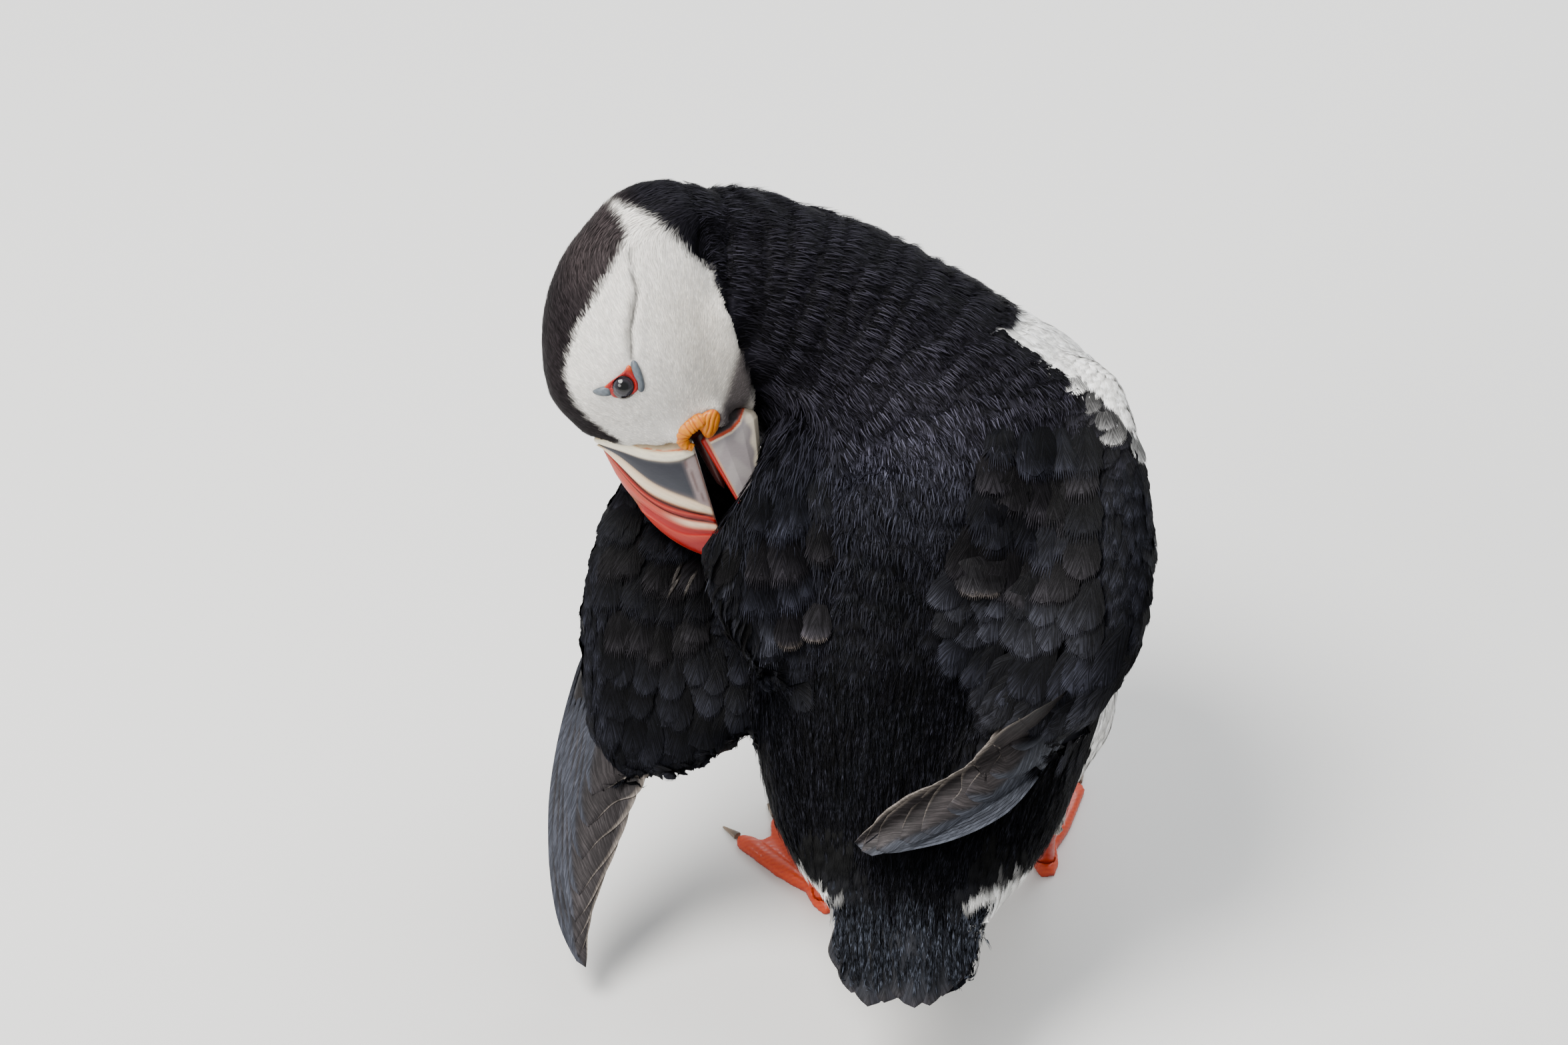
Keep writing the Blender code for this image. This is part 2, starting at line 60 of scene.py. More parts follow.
# Stations from the root of the tail to the back of the skull:
# across, along, out, half width, half depth.
TRUNK_LINE = np.array((
    (-5, -12, 92, 22, 6),
    (-4, 0, 85, 34, 13),
    (-2.5, 20, 73, 45.5, 25),
    (0.5, 45, 60, 52.5, 37),
    (7, 72, 49, 57, 46),
    (10, 98, 43, 60, 50),
    (10, 117, 39, 55, 49),
    (2, 135, 37, 48, 45),
    (-12, 151, 39, 39, 39),
    (-30, 164, 43, 34.5, 34),
    (-52, 172, 49, 31, 30),
    (-70, 174, 56, 26, 24),
), float)

# Middle lines of the wings and of the shoulder flap, from the shoulder down.
LEFT_ARM_LINE = ((-64, 126, 31), (-69, 110, 38), (-73.5, 89, 46), (-75, 64, 53), (-76, 45, 58), (-80, 20, 58))
RIGHT_ARM_LINE = ((38, 155, 52), (42, 130, 65), (42, 96, 76), (36, 74, 82), (29, 50, 88), (24, 36, 92))
FLAP_LINE = ((-22, 142, 56), (-32, 126, 63), (-39, 106, 72), (-40, 88, 76), (-38, 72, 78), (-36, 50, 82))

SKULL = np.array((-83.0, 166.0, 66.0))


def unit(vectors):
    vectors = np.asarray(vectors, float)
    return vectors / np.maximum(np.linalg.norm(vectors, axis=-1, keepdims=True), 1e-9)


def slope_way(across, along, out):
    return unit(np.array((across, along, out), float) @ SLOPE)


def on_slope(places):
    """World places, in metres, of rows of across, along and out."""
    return (np.asarray(places, float) @ SLOPE + SHIFT) * MM


def slope_of(points):
    return (np.asarray(points) / MM - SHIFT) @ SLOPE.T


BILL_WAY = slope_way(0.285, -0.950, -0.120)
CROWN_WAY = slope_way(-0.958, -0.287, 0.0)
LEFT_WAY = unit(np.cross(CROWN_WAY, BILL_WAY))
HEAD = np.array((BILL_WAY, CROWN_WAY, LEFT_WAY))
SKULL_AT = on_slope(SKULL)


def on_head(ahead, up, left):
    """World places, in metres, of head places; the three may be arrays of one shape."""
    return SKULL_AT + np.stack(np.broadcast_arrays(ahead, up, left), -1) * MM @ HEAD


def head_of(points):
    """Head places of world points. The bill's way leans a little, so this solves for the three shares."""
    return np.linalg.solve(HEAD.T, (np.asarray(points) - SKULL_AT).T / MM).T


# ---------------------------------------------------------------- small helpers


def smoothstep(low, high, value):
    t = np.clip((np.asarray(value, float) - low) / (high - low), 0.0, 1.0)
    return t * t * (3 - 2 * t)


def mixed(a, b, share):
    share = np.asarray(share, float)[..., None]
    return np.asarray(a, float) * (1 - share) + np.asarray(b, float) * share


def mixed_number(a, b, share):
    return a + (b - a) * share


def signed_distance(places, outline):
    """How far inside a closed outline each flat place lies; outside is negative."""
    places, start = np.asarray(places, float), np.asarray(outline, float)
    end = np.roll(start, -1, 0)
    run = end - start
    reach = places[:, None, :] - start
    share = np.clip((reach * run).sum(2) / (run**2).sum(1), 0, 1)
    gap = np.linalg.norm(reach - run * share[..., None], axis=2).min(1)
    above = (start[:, 1] > places[:, 1:2]) != (end[:, 1] > places[:, 1:2])
    slope = run[:, 0] / np.where(run[:, 1] == 0, 1e-9, run[:, 1])
    cross = places[:, 0:1] < start[:, 0] + (places[:, 1:2] - start[:, 1]) * slope
    return np.where((above & cross).sum(1) % 2 == 1, gap, -gap)


def line_distance(places, line):
    """Distance to an open line, and the share of the line's points passed at the nearest place."""
    places, line = np.asarray(places, float), np.asarray(line, float)
    start, run = line[:-1], np.diff(line, axis=0)
    reach = places[:, None, :] - start
    share = np.clip((reach * run).sum(2) / (run**2).sum(1), 0, 1)
    gap = np.linalg.norm(reach - run * share[..., None], axis=2)
    best = gap.argmin(1)
    rows = np.arange(len(places))
    return gap[rows, best], best + share[rows, best]


def waves(points, size, seed):
    """Soft noise from -1 to 1 at world points, from a few crossing waves of about the given size in mm."""
    rng = np.random.default_rng(seed)
    total = np.zeros(len(points))
    for _ in range(6):
        way = unit(rng.normal(size=3))
        total += np.sin(np.asarray(points) @ way / (size * MM) * math.tau * rng.uniform(0.7, 1.4) + rng.uniform(0, 6.3))
    return total / 3.0


def new_mesh(name, places, faces, smooth=True):
    """A mesh from an array of places and an array, or several, of faces."""
    groups = faces if isinstance(faces, (list, tuple)) else [faces]
    mesh = bpy.data.meshes.new(name)
    corners = np.concatenate([np.asarray(g, np.int32).ravel() for g in groups])
    sizes = np.concatenate([np.full(len(g), np.shape(g)[1], np.int32) for g in groups])
    mesh.vertices.add(len(places))
    mesh.vertices.foreach_set("co", np.asarray(places, np.float32).ravel())
    mesh.loops.add(len(corners))
    mesh.loops.foreach_set("vertex_index", corners)
    mesh.polygons.add(len(sizes))
    mesh.polygons.foreach_set("loop_start", np.concatenate(([0], np.cumsum(sizes)[:-1])).astype(np.int32))
    mesh.update(calc_edges=True)
    if smooth:
        mesh.shade_smooth()
    return mesh


def store(mesh, name, values, domain="POINT"):
    """Writes a float, vector or colour attribute on a mesh."""
    values = np.asarray(values, np.float32)
    kind = {0: "FLOAT", 2: "FLOAT2", 3: "FLOAT_VECTOR", 4: "FLOAT_COLOR"}[values.shape[1] if values.ndim > 1 else 0]
    made = mesh.attributes.new(name, kind, domain)
    field = {"FLOAT": "value", "FLOAT2": "vector", "FLOAT_VECTOR": "vector", "FLOAT_COLOR": "color"}[kind]
    made.data.foreach_set(field, values.ravel())


def fetch(mesh, name):
    data = mesh.attributes[name].data
    kind = mesh.attributes[name].data_type
    width = {"FLOAT": 1, "FLOAT2": 2, "FLOAT_VECTOR": 3, "FLOAT_COLOR": 4}[kind]
    values = np.zeros(len(data) * width, np.float32)
    data.foreach_get("value" if width == 1 else "color" if width == 4 else "vector", values)
    return values.reshape(-1, width) if width > 1 else values


def places_of(mesh):
    values = np.zeros(len(mesh.vertices) * 3, np.float32)
    mesh.vertices.foreach_get("co", values)
    return values.reshape(-1, 3).astype(float)


def add_object(name, mesh, material=None):
    made = bpy.data.objects.new(name, mesh)
    bpy.context.scene.collection.objects.link(made)
    if material:
        mesh.materials.clear()
        mesh.materials.append(material)
    return made


def evaluated_mesh(obj):
    bpy.context.view_layer.update()
    return bpy.data.meshes.new_from_object(obj.evaluated_get(bpy.context.evaluated_depsgraph_get()))


def shown(piece, slot, *nodes):
    """Hands a finished piece to the frame and hides the nodes it stands for. slot is not used."""
    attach(piece, "root")
    if nodes:
        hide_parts(*nodes)
    return piece


# ---------------------------------------------------------------- finishes


class Value:
    """A node's output that takes part in arithmetic, each step adding a Math node."""

    def __init__(self, tree, socket):
        self.tree, self.socket = tree, socket

    def math(self, operation, *values):
        return self.tree.node("ShaderNodeMath", {"operation": operation}, dict(enumerate(values)))

    def __add__(self, other):
        return self.math("ADD", self, other)

    def __sub__(self, other):
        return self.math("SUBTRACT", self, other)

    def __rsub__(self, other):
        return self.math("SUBTRACT", other, self)

    def __mul__(self, other):
        return self.math("MULTIPLY", self, other)

    __radd__ = __add__
    __rmul__ = __mul__

    def between(self, low, high):
        """0 below low, 1 above high, with a soft step between."""
        sockets = {"Value": self, "From Min": low, "From Max": high}
        return self.tree.node("ShaderNodeMapRange", {"interpolation_type": "SMOOTHSTEP"}, sockets)


class Tree:
    """A node tree, filled by one method."""

    def __init__(self, tree):
        self.tree = tree
        tree.nodes.clear()

    def node(self, kind, settings=None, sockets=None, output=0):
        """Adds a node: its settings come first, then its sockets' values or links, by name or number."""
        made = self.tree.nodes.new(kind)
        for key, value in (settings or {}).items():
            if key == "stops":
                ramp = made.color_ramp
                while len(ramp.elements) < len(value):
                    ramp.elements.new(1.0)
                for element, (place, colour) in zip(ramp.elements, value):
                    element.position = place
                    element.color = (*colour, 1.0)
            elif key == "paired":
                made.pair_with_output(value)
            else:
                setattr(made, key, value)
        for key, value in (sockets or {}).items():
            if isinstance(value, Value):
                self.tree.links.new(value.socket, made.inputs[key])
            else:
                made.inputs[key].default_value = value
        if kind.endswith("Output") or kind.endswith("OutputMaterial"):
            return made
        return Value(self, made.outputs[output])


class Finish(Tree):
    """A material under construction."""

    def __init__(self, name):
        self.material = bpy.data.materials.new(name)
        self.material.use_nodes = True
        super().__init__(self.material.node_tree)
        self.place = self.node("ShaderNodeTexCoord", output="Object")

    def attribute(self, name, output="Fac"):
        return self.node("ShaderNodeAttribute", {"attribute_name": name}, output=output)

    def parts(self, vector):
        first = self.node("ShaderNodeSeparateXYZ", None, {0: vector})
        return [Value(self, socket) for socket in first.socket.node.outputs]

    def grey(self, value):
        return self.node("ShaderNodeCombineColor", None, {0: value, 1: value, 2: value})

    def noise(self, scale, detail=2.0, roughness=0.5, stretch=None, place=None):
        place = place or self.place
        if stretch:
            place = self.node("ShaderNodeMapping", None, {"Vector": place, "Scale": stretch})
        sockets = {"Vector": place, "Scale": scale, "Detail": detail, "Roughness": roughness}
        return self.node("ShaderNodeTexNoise", None, sockets)

    def mix(self, factor, first, second, blend="MIX"):
        """Colours mixed; a plain colour is three numbers."""
        full = [(*c, 1.0) if isinstance(c, tuple) else c for c in (first, second)]
        sockets = {"Factor": factor, 6: full[0], 7: full[1]}
        return self.node("ShaderNodeMix", {"data_type": "RGBA", "blend_type": blend}, sockets, output=2)

    def bump(self, height, strength, distance):
        return self.node("ShaderNodeBump", None, {"Height": height, "Strength": strength, "Distance": distance})

    def close(self, **sockets):
        """Ends the tree in a Principled shader; underscores in names stand for spaces."""
        named = {key.replace("_", " "): value for key, value in sockets.items()}
        shader = self.node("ShaderNodeBsdfPrincipled", None, named)
        self.node("ShaderNodeOutputMaterial", None, {"Surface": shader})
        return self.material


def plumage_finish(name, specular, roughness, barbs=0.5, sheen=0.0, velvet=0.0, grain=2.2, gain=1.0):
    """Feathers: their own tone, streaked along the barbs of a vane with painted highlights on the barbs and painted
    shade between them, or by each tuft's brightness.
    """
    finish = Finish(name)
    across, along, seed = finish.parts(finish.attribute("vane", "Vector"))
    spot = {0: (across - along * 0.30) * grain, 1: along * 0.10 + across * 0.12 + seed * 19.0, 2: seed * 71.0}
    barb = finish.noise(1.0, detail=3.0, roughness=0.65, place=finish.node("ShaderNodeCombineXYZ", None, spot))
    # streak marks the barbs; in the colour it paints highlights on them and shade in the gaps between them.
    streak = barb.between(0.38, 0.72)
    mottle = finish.noise(700.0, detail=3.0) * 0.4 + 0.8
    shade = mottle * (streak * (2.6 * barbs) + (1 - barbs))
    if velvet:
        shade = mottle * (finish.attribute("bright") * velvet + (1 - velvet))
    return finish.close(
        Base_Color=finish.mix(1.0, finish.attribute("tone", "Color"), finish.grey(shade * gain), "MULTIPLY"),
        Roughness=streak * -0.12 + (roughness + 0.06),
        Specular_IOR_Level=specular,
        Sheen_Weight=sheen,
        Sheen_Roughness=0.4,
        Normal=finish.bump(barb, 0.0 if velvet else 0.6, 0.00035),
    )


# ---------------------------------------------------------------- markings

BLACK = (0.0078, 0.0081, 0.0112)
NECK_BLACK = (0.0105, 0.0098, 0.0136)
CROWN_DARK = (0.0100, 0.0082, 0.0100)
CROWN_PALE = (0.044, 0.035, 0.036)
FACE_WHITE = (0.93, 0.90, 0.85)
FACE_GREY = (0.82, 0.775, 0.70)
SMUDGE_GREY = (0.12, 0.105, 0.104)
BELLY_WHITE = (0.86, 0.85, 0.82)
FLANK_GREY = (0.30, 0.28, 0.26)

# The white of each side of the face, as places ahead and up: along the crown, round the bill and the cheek.
FACE_OUTLINE = (
    (-34.5, 1.5), (-30.7, -0.6), (-25.9, -1.6), (-20.6, 0.4), (-14.7, 5.9), (-11, 9.9), (-6.3, 15.1),
    (-2.1, 19.3), (2, 22.2), (6.2, 25.1), (9.2, 26.2), (13.2, 26.8), (19.8, 25.9), (24.6, 23.6), (30, 19.8),
    (32.5, 17.5), (42, 15), (50, 0), (50, -24), (36, -30), (24, -31), (14.3, -31), (7.2, -29.6),
    (-2.4, -26), (-12.5, -19), (-19.8, -14.8), (-29.3, -8), (-33.2, -2.2),
)
FOLD_LINE = (
    (10.2, 6.4), (6.8, 5.5), (2.9, 4.6), (0.3, 3.4), (-2.5, 1.9), (-5.8, 0.2), (-8, -0.6), (-13, -0.8), (-19, -1.5),
)
SMUDGE_LINE = ((20.0, -28.5), (25.0, -24.5), (31.0, -20.5), (37.0, -15.5))
COLLAR_AT = np.array((-4.0, 143.0))
COLLAR_WAY = unit((-0.66, 0.75))


def trunk_places(slope):
    """For places on the slope: station along the trunk's line, angle round it from the back, and side."""
    line = TRUNK_LINE[:, :3]
    _, station = line_distance(slope, line)
    low = np.clip(station.astype(int), 0, len(line) - 2)
    middle = line[low] + (line[low + 1] - line[low]) * (station - low)[:, None]
    way = unit(np.stack([np.interp(station, range(len(line)), np.gradient(line[:, k])) for k in range(3)], 1))
    back = np.array((0.0, 0.0, 1.0)) - way * way[:, 2:3]
    back = unit(back)
    side = np.cross(way, back)
    reach = slope - middle
    round_back, round_side = (reach * back).sum(1), (reach * side).sum(1)
    return station, np.degrees(np.arctan2(np.abs(round_side), round_back)), -np.sign(round_side), way


def face_white(head):
    """How far, in millimetres, a head place lies inside the white of the face."""
    inside = signed_distance(head[:, :2], FACE_OUTLINE)
    return inside + 0.5 * np.sin(head[:, 0] * 2.3) * np.sin(head[:, 1] * 1.7)


def head_tone(points):
    head = head_of(points)
    white = smoothstep(-0.7, 0.7, face_white(head))
    fold, _ = line_distance(head[:, :2], FOLD_LINE)
    below = smoothstep(4, -16, head[:, 1]) * smoothstep(-14, 6, head[:, 0])
    face = mixed(FACE_WHITE, FACE_GREY, 0.15 + 0.85 * below)
    smudge, along = line_distance(head[:, :2], SMUDGE_LINE)
    smudge = smoothstep(6.4, 3.0, smudge + 0.3 * along)
    face = mixed(face, SMUDGE_GREY, smudge)
    # Painted shade along the fold behind the eye, which fold_and_sockets also presses in.
    face = face * (1 - 0.70 * smoothstep(0.9, 0.2, fold) * (np.abs(head[:, 2]) > 8))[:, None]
    rear = smoothstep(0, -22, head[:, 0]) * smoothstep(-6, 4, head[:, 1]) * smoothstep(26, 12, head[:, 1])
    crown = mixed(CROWN_DARK, CROWN_PALE, 0.75 * rear + 0.25 * smoothstep(-8, 2, head[:, 1]))
    crown = mixed(crown, NECK_BLACK, smoothstep(-4, -10, head[:, 1]))
    # Near-black red on the skin under the rosettes and in the corner of the mouth: painted shade in the mouth's hollow.
    return mixed(mixed(crown, face, white), (0.035, 0.006, 0.005), near_rosette(head))


def underside_white(slope):
    """0 on the black of the back and collar, 1 on the white of the breast, belly and flanks."""
    station, angle, side, _ = trunk_places(slope)
    edge = np.interp(station, (0, 1, 1.6, 2.1, 2.6, 3, 4, 5, 6, 7, 8), (66, 72, 88, 97, 84, 66, 70, 70, 58, 50, 50))
    left_edge = np.interp(station, (0, 1, 2, 3, 5, 6), (72, 82, 108, 118, 118, 150))
    edge = np.where(side > 0, left_edge, edge)
    round_white = smoothstep(-2.5, 2.5, angle - edge)
    collar = (slope[:, :2] - COLLAR_AT) @ COLLAR_WAY
    ragged = 1.2 * np.sin(slope[:, 0] * 0.9) + 0.8 * np.sin(slope[:, 2] * 1.3)
    return round_white * smoothstep(1.6, -1.6, collar + ragged)


# The white breast's border beside the right shoulder, round the white.
BREAST_OUTLINE = (
    (22, 184), (25.5, 172), (32, 164), (34, 158), (39.5, 152), (45, 147), (52.5, 140), (60, 131.5), (65.5, 124),
    (68.5, 116), (70.5, 102), (72, 84), (104, 80), (104, 184),
)


# The folded right wing's coverts, which the back's loose hair leaves free.
COVERTS_OUTLINE = (
    (0, 82), (1, 66), (4, 54), (12, 46), (20, 41), (42, 40), (70, 60), (75, 130), (34, 132), (20, 112), (12, 98),
)


# Where the folded right wing's long feathers lie on the rump, which stays bare under them.
UNDER_WING = ((-15, 12), (-7, 11), (4, 14), (15, 18.5), (25, 25), (32, 34), (34, 44), (22, 50), (8, 42), (-4, 29), (-14, 19))


def breast_white(slope):
    inside = signed_distance(slope[:, :2], BREAST_OUTLINE)
    return smoothstep(-0.8, 0.8, inside + 0.7 * np.sin(slope[:, 1] * 1.3) + 0.5 * np.sin(slope[:, 2] * 2.1))


def around(slope, middle, reach):
    """1 at a place on the slope, falling smoothly to 0 with distance in every direction."""
    return np.exp(-(((slope[:, :2] - middle) / reach) ** 2).sum(1))


def plumage_row(slope):
    """0 to 1 over each row of feathers that crosses the back and the bend of the neck, highest at its tips."""
    station = trunk_places(slope)[0]
    phase = station * 2.9 + 0.42 * np.sin(slope[:, 0] * 0.11 + slope[:, 2] * 0.08) + 0.15 * np.sin(slope[:, 0] * 0.37)
    phase = phase % 1.0
    return np.minimum(phase**1.4, (1 - phase) * 6)


def body_tone(points, wing):
    """wing is how much a place belongs to a wing, the shoulder flap or the tail, which are black all over."""
    slope = slope_of(points)
    white = np.maximum(underside_white(slope) * (1 - np.asarray(wing)), breast_white(slope))
    neck = smoothstep(108, 150, slope[:, 1])
    rump = smoothstep(78, 58, slope[:, 1]) * smoothstep(-8, 14, slope[:, 1]) * smoothstep(0.5, 0.0, wing)
    # Painted sheen: paler over the upper mantle; painted shadow: darker over the middle of the back.
    painted_sheen_and_shadow = 1 + 1.6 * around(slope, (-8, 132), (27, 24)) - 0.6 * around(slope, (-7, 84), (17, 24))
    # Painted light and shade across the rows of the back: each row paler at its tips and darker below them, where the
    # row above shades it.
    rows = 1 + smoothstep(60, 80, slope[:, 1]) * smoothstep(0.5, 0.0, wing) * (1.9 * plumage_row(slope) - 0.7)
    black = mixed(BLACK, NECK_BLACK, neck) * (1 - 0.95 * rump)[:, None] * (painted_sheen_and_shadow * rows)[:, None]
    return mixed(black, BELLY_WHITE, white)


# ---------------------------------------------------------------- skin

FLESH = (
    "trunk", "neck", "head", "wing_left_arm", "wing_right_arm", "scapular_left", "thigh_left", "thigh_right",
    "wing_left_hand", "wing_right_hand", "tail",
)
COAT_DEPTH = {"head": 1.1, "neck": 2.0, "thigh_left": 1.6, "thigh_right": 1.6}
BILL_NODES = ("bill_upper", "bill_lower")
UNDER_NODES = ("rosette_left", "rosette_right", "eye_left", "eye_right")
THIN_PARTS = ("wing_left_hand", "wing_right_hand", "tail")
WING_PARTS = ("wing_left_arm", "wing_right_arm", "scapular_left", *THIN_PARTS)
SKIN_VOXEL = 1.55
FACE_BAND = (-14.0, 34.0)


def joined_flesh():
    """One closed mesh round the flesh nodes, whose surfaces are first moved out until they overlap."""
    bm = bmesh.new()
    for name in (*FLESH, *UNDER_NODES):
        part = bmesh.new()
        part.from_mesh(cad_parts[name].data)
        bmesh.ops.remove_doubles(part, verts=part.verts, dist=0.01 * MM)
        part.normal_update()
        for vert in part.verts:
            vert.co += vert.normal * 0.45 * MM
        whole = bpy.data.meshes.new("part_of_skin")
        part.to_mesh(whole)
        part.free()
        bm.from_mesh(whole)
        bpy.data.meshes.remove(whole)
    mesh = bpy.data.meshes.new("skin_rough")
    bm.to_mesh(mesh)
    bm.free()
    rough = add_object("skin_rough", mesh)
    remesh = rough.modifiers.new("one_skin", "REMESH")
    remesh.mode = "VOXEL"
    remesh.voxel_size = SKIN_VOXEL * MM
    joined = evaluated_mesh(rough)
    bpy.data.objects.remove(rough)
    return joined


def neighbour_mean(values, edges, rounds, weight=0.5):
    """Values at points, eased towards their neighbours' mean a number of times."""
    values = np.array(values, float)
    count = np.bincount(edges.ravel(), minlength=len(values)).astype(float)
    flat = values.reshape(len(values), -1)
    for _ in range(rounds):
        total = np.zeros_like(flat)
        for k in range(flat.shape[1]):
            total[:, k] = np.bincount(edges[:, 0], flat[edges[:, 1], k], len(flat))
            total[:, k] += np.bincount(edges[:, 1], flat[edges[:, 0], k], len(flat))
        flat = flat * (1 - weight) + total / np.maximum(count, 1)[:, None] * weight
    return flat.reshape(values.shape)


def edges_of(mesh):
    values = np.zeros(len(mesh.edges) * 2, np.int32)
    mesh.edges.foreach_get("vertices", values)
    return values.reshape(-1, 2)


def normals_of(mesh):
    values = np.zeros(len(mesh.vertices) * 3, np.float32)
    mesh.vertex_normals.foreach_get("vector", values)
    return values.reshape(-1, 3).astype(float)


def gaps_to(points, names):
    """How far each point lies from each named node's surface, in metres."""
    gaps = []
    for name in names:
        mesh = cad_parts[name].data
        corners = [p.vertices[:] for p in mesh.polygons]
        tree = BVHTree.FromPolygons([v.co[:] for v in mesh.vertices], corners)
        gaps.append([tree.find_nearest(p)[3] for p in points.tolist()])
    return np.array(gaps)


def nearest_parts(points):
    """For each point, which flesh node's surface lies nearest."""
    found = gaps_to(points, (*FLESH, *UNDER_NODES)).argmin(0)
    return np.where(found >= len(FLESH), FLESH.index("head"), found)


def lie_of_coat(points, part):
    """The way that the feathers point at each place: from the bill over the head, down neck, back and wings."""
    slope, head = slope_of(points), head_of(points)
    station, _, _, way = trunk_places(slope)
    lie = -way
    lines = {"wing_left_arm": LEFT_ARM_LINE, "wing_right_arm": RIGHT_ARM_LINE, "scapular_left": FLAP_LINE}
    for name, line in lines.items():
        rows = part == FLESH.index(name)
        line = np.array(line, float)
        _, place = line_distance(slope[rows], line)
        lie[rows] = unit(np.stack([np.interp(place, range(len(line)), np.gradient(line[:, k])) for k in range(3)], 1))
    for name, way in (("wing_left_hand", (-0.2, -1, 0.05)), ("wing_right_hand", (-0.82, -0.56, 0.15)), ("tail", (0, -1, 0.2))):
        lie[part == FLESH.index(name)] = unit(way)
    lie = lie @ SLOPE
    for name in ("thigh_left", "thigh_right"):
        lie[part == FLESH.index(name)] = (0, -0.35, -0.94)
    rows = part == FLESH.index("head")
    spread = np.stack((head[rows, 0] - 40.0, head[rows, 1] + 1.0, head[rows, 2] * 0.6), 1)
    radial = unit(unit(spread) @ HEAD)
    rear = smoothstep(-12, -34, head[rows, 0])[:, None]
    lie[rows] = unit(radial * (1 - rear) + lie[rows] * rear)
    return lie


class Skin:
    """The skin's triangles, with the fields that the coat reads at any place on it."""

    def __init__(self, mesh):
        mesh.calc_loop_triangles()
        tri = np.zeros(len(mesh.loop_triangles) * 3, np.int32)
        mesh.loop_triangles.foreach_get("vertices", tri)
        loops = np.zeros(len(tri), np.int32)
        mesh.loop_triangles.foreach_get("loops", loops)
        self.mesh = mesh
        self.tri, self.loops = tri.reshape(-1, 3), loops.reshape(-1, 3)
        self.co, self.normal = places_of(mesh), normals_of(mesh)
        self.lie = fetch(mesh, "lie").astype(float)
        self.part = fetch(mesh, "part").round().astype(int)
        self.root = fetch(mesh, "OFBake").astype(float)[self.loops]
        self.tree = BVHTree.FromPolygons(self.co.tolist(), self.tri.tolist())
        corner = self.co[self.tri]
        self.area = np.linalg.norm(np.cross(corner[:, 1] - corner[:, 0], corner[:, 2] - corner[:, 0]), axis=1) / 2

    def shares(self, points, tri):
        """Barycentric shares of points in their triangles."""
        a, b, c = (self.co[self.tri[tri, k]] for k in range(3))
        u, v, w = b - a, c - a, points - a
        uu, uv, vv = (u * u).sum(1), (u * v).sum(1), (v * v).sum(1)
        wu, wv = (w * u).sum(1), (w * v).sum(1)
        scale = np.maximum(uu * vv - uv * uv, 1e-20)
        s, t = (vv * wu - uv * wv) / scale, (uu * wv - uv * wu) / scale
        return np.clip(np.stack((1 - s - t, s, t), 1), 0, 1)

    def at(self, tri, share):
        """Place, normal, lie and unwrap place at shares of triangles."""
        found = []
        for field in (self.co, self.normal, self.lie):
            found.append((field[self.tri[tri]] * share[..., None]).sum(1))
        place, normal, lie = found[0], unit(found[1]), found[2]
        lie = unit(lie - normal * (lie * normal).sum(1)[:, None])
        return place, normal, lie, (self.root[tri] * share[..., None]).sum(1)

    def snap(self, points):
        hits = [self.tree.find_nearest(p) for p in points.tolist()]
        tri = np.array([h[2] for h in hits])
        on = np.array([h[0] for h in hits])
        return self.at(tri, self.shares(on, tri))

    def roots(self, weight, spacing, seed):
        """Well-spaced places on the skin. weight is 0 to 1 per triangle; spacing is in mm, one or per triangle."""
        rng = np.random.default_rng(seed)
        spacing = np.broadcast_to(spacing, self.area.shape) * MM
        wanted = self.area * (weight > 0.02) / spacing**2 * 4.0
        tri = rng.choice(len(wanted), int(wanted.sum()), p=wanted / wanted.sum())
        share = rng.dirichlet((1, 1, 1), len(tri))
        place = (self.co[self.tri[tri]] * share[..., None]).sum(1)
        tree = KDTree(len(tri))
        for k, p in enumerate(place.tolist()):
            tree.insert(p, k)
        tree.balance()
        reach = spacing[tri] * 0.86
        alive = rng.random(len(tri)) < weight[tri] * 4
        kept = []
        for k, p in enumerate(place.tolist()):
            if alive[k]:
                kept.append(k)
                for _, other, _ in tree.find_range(p, reach[k]):
                    alive[other] = False
        kept = np.array(kept)
        return tri[kept], share[kept]


def narrowing(slope, edge, outer_side):
    """How a closed wing's skin draws in towards a line inside its outer edge, under the long feathers."""
    line = curve_through(edge, 60)
    way = unit(np.gradient(line, axis=0))
    side = np.stack((-way[:, 1], way[:, 0]), 1) * outer_side
    near = np.linalg.norm(slope[:, None, :2] - line[None], axis=2).argmin(1)
    inside = -((slope[:, :2] - line[near]) * side[near]).sum(1)
    move = side[near] * ((inside - 4.5) * 0.5 * smoothstep(2, 14, near))[:, None]
    return np.concatenate((move, np.zeros((len(move), 1))), 1) @ SLOPE * MM


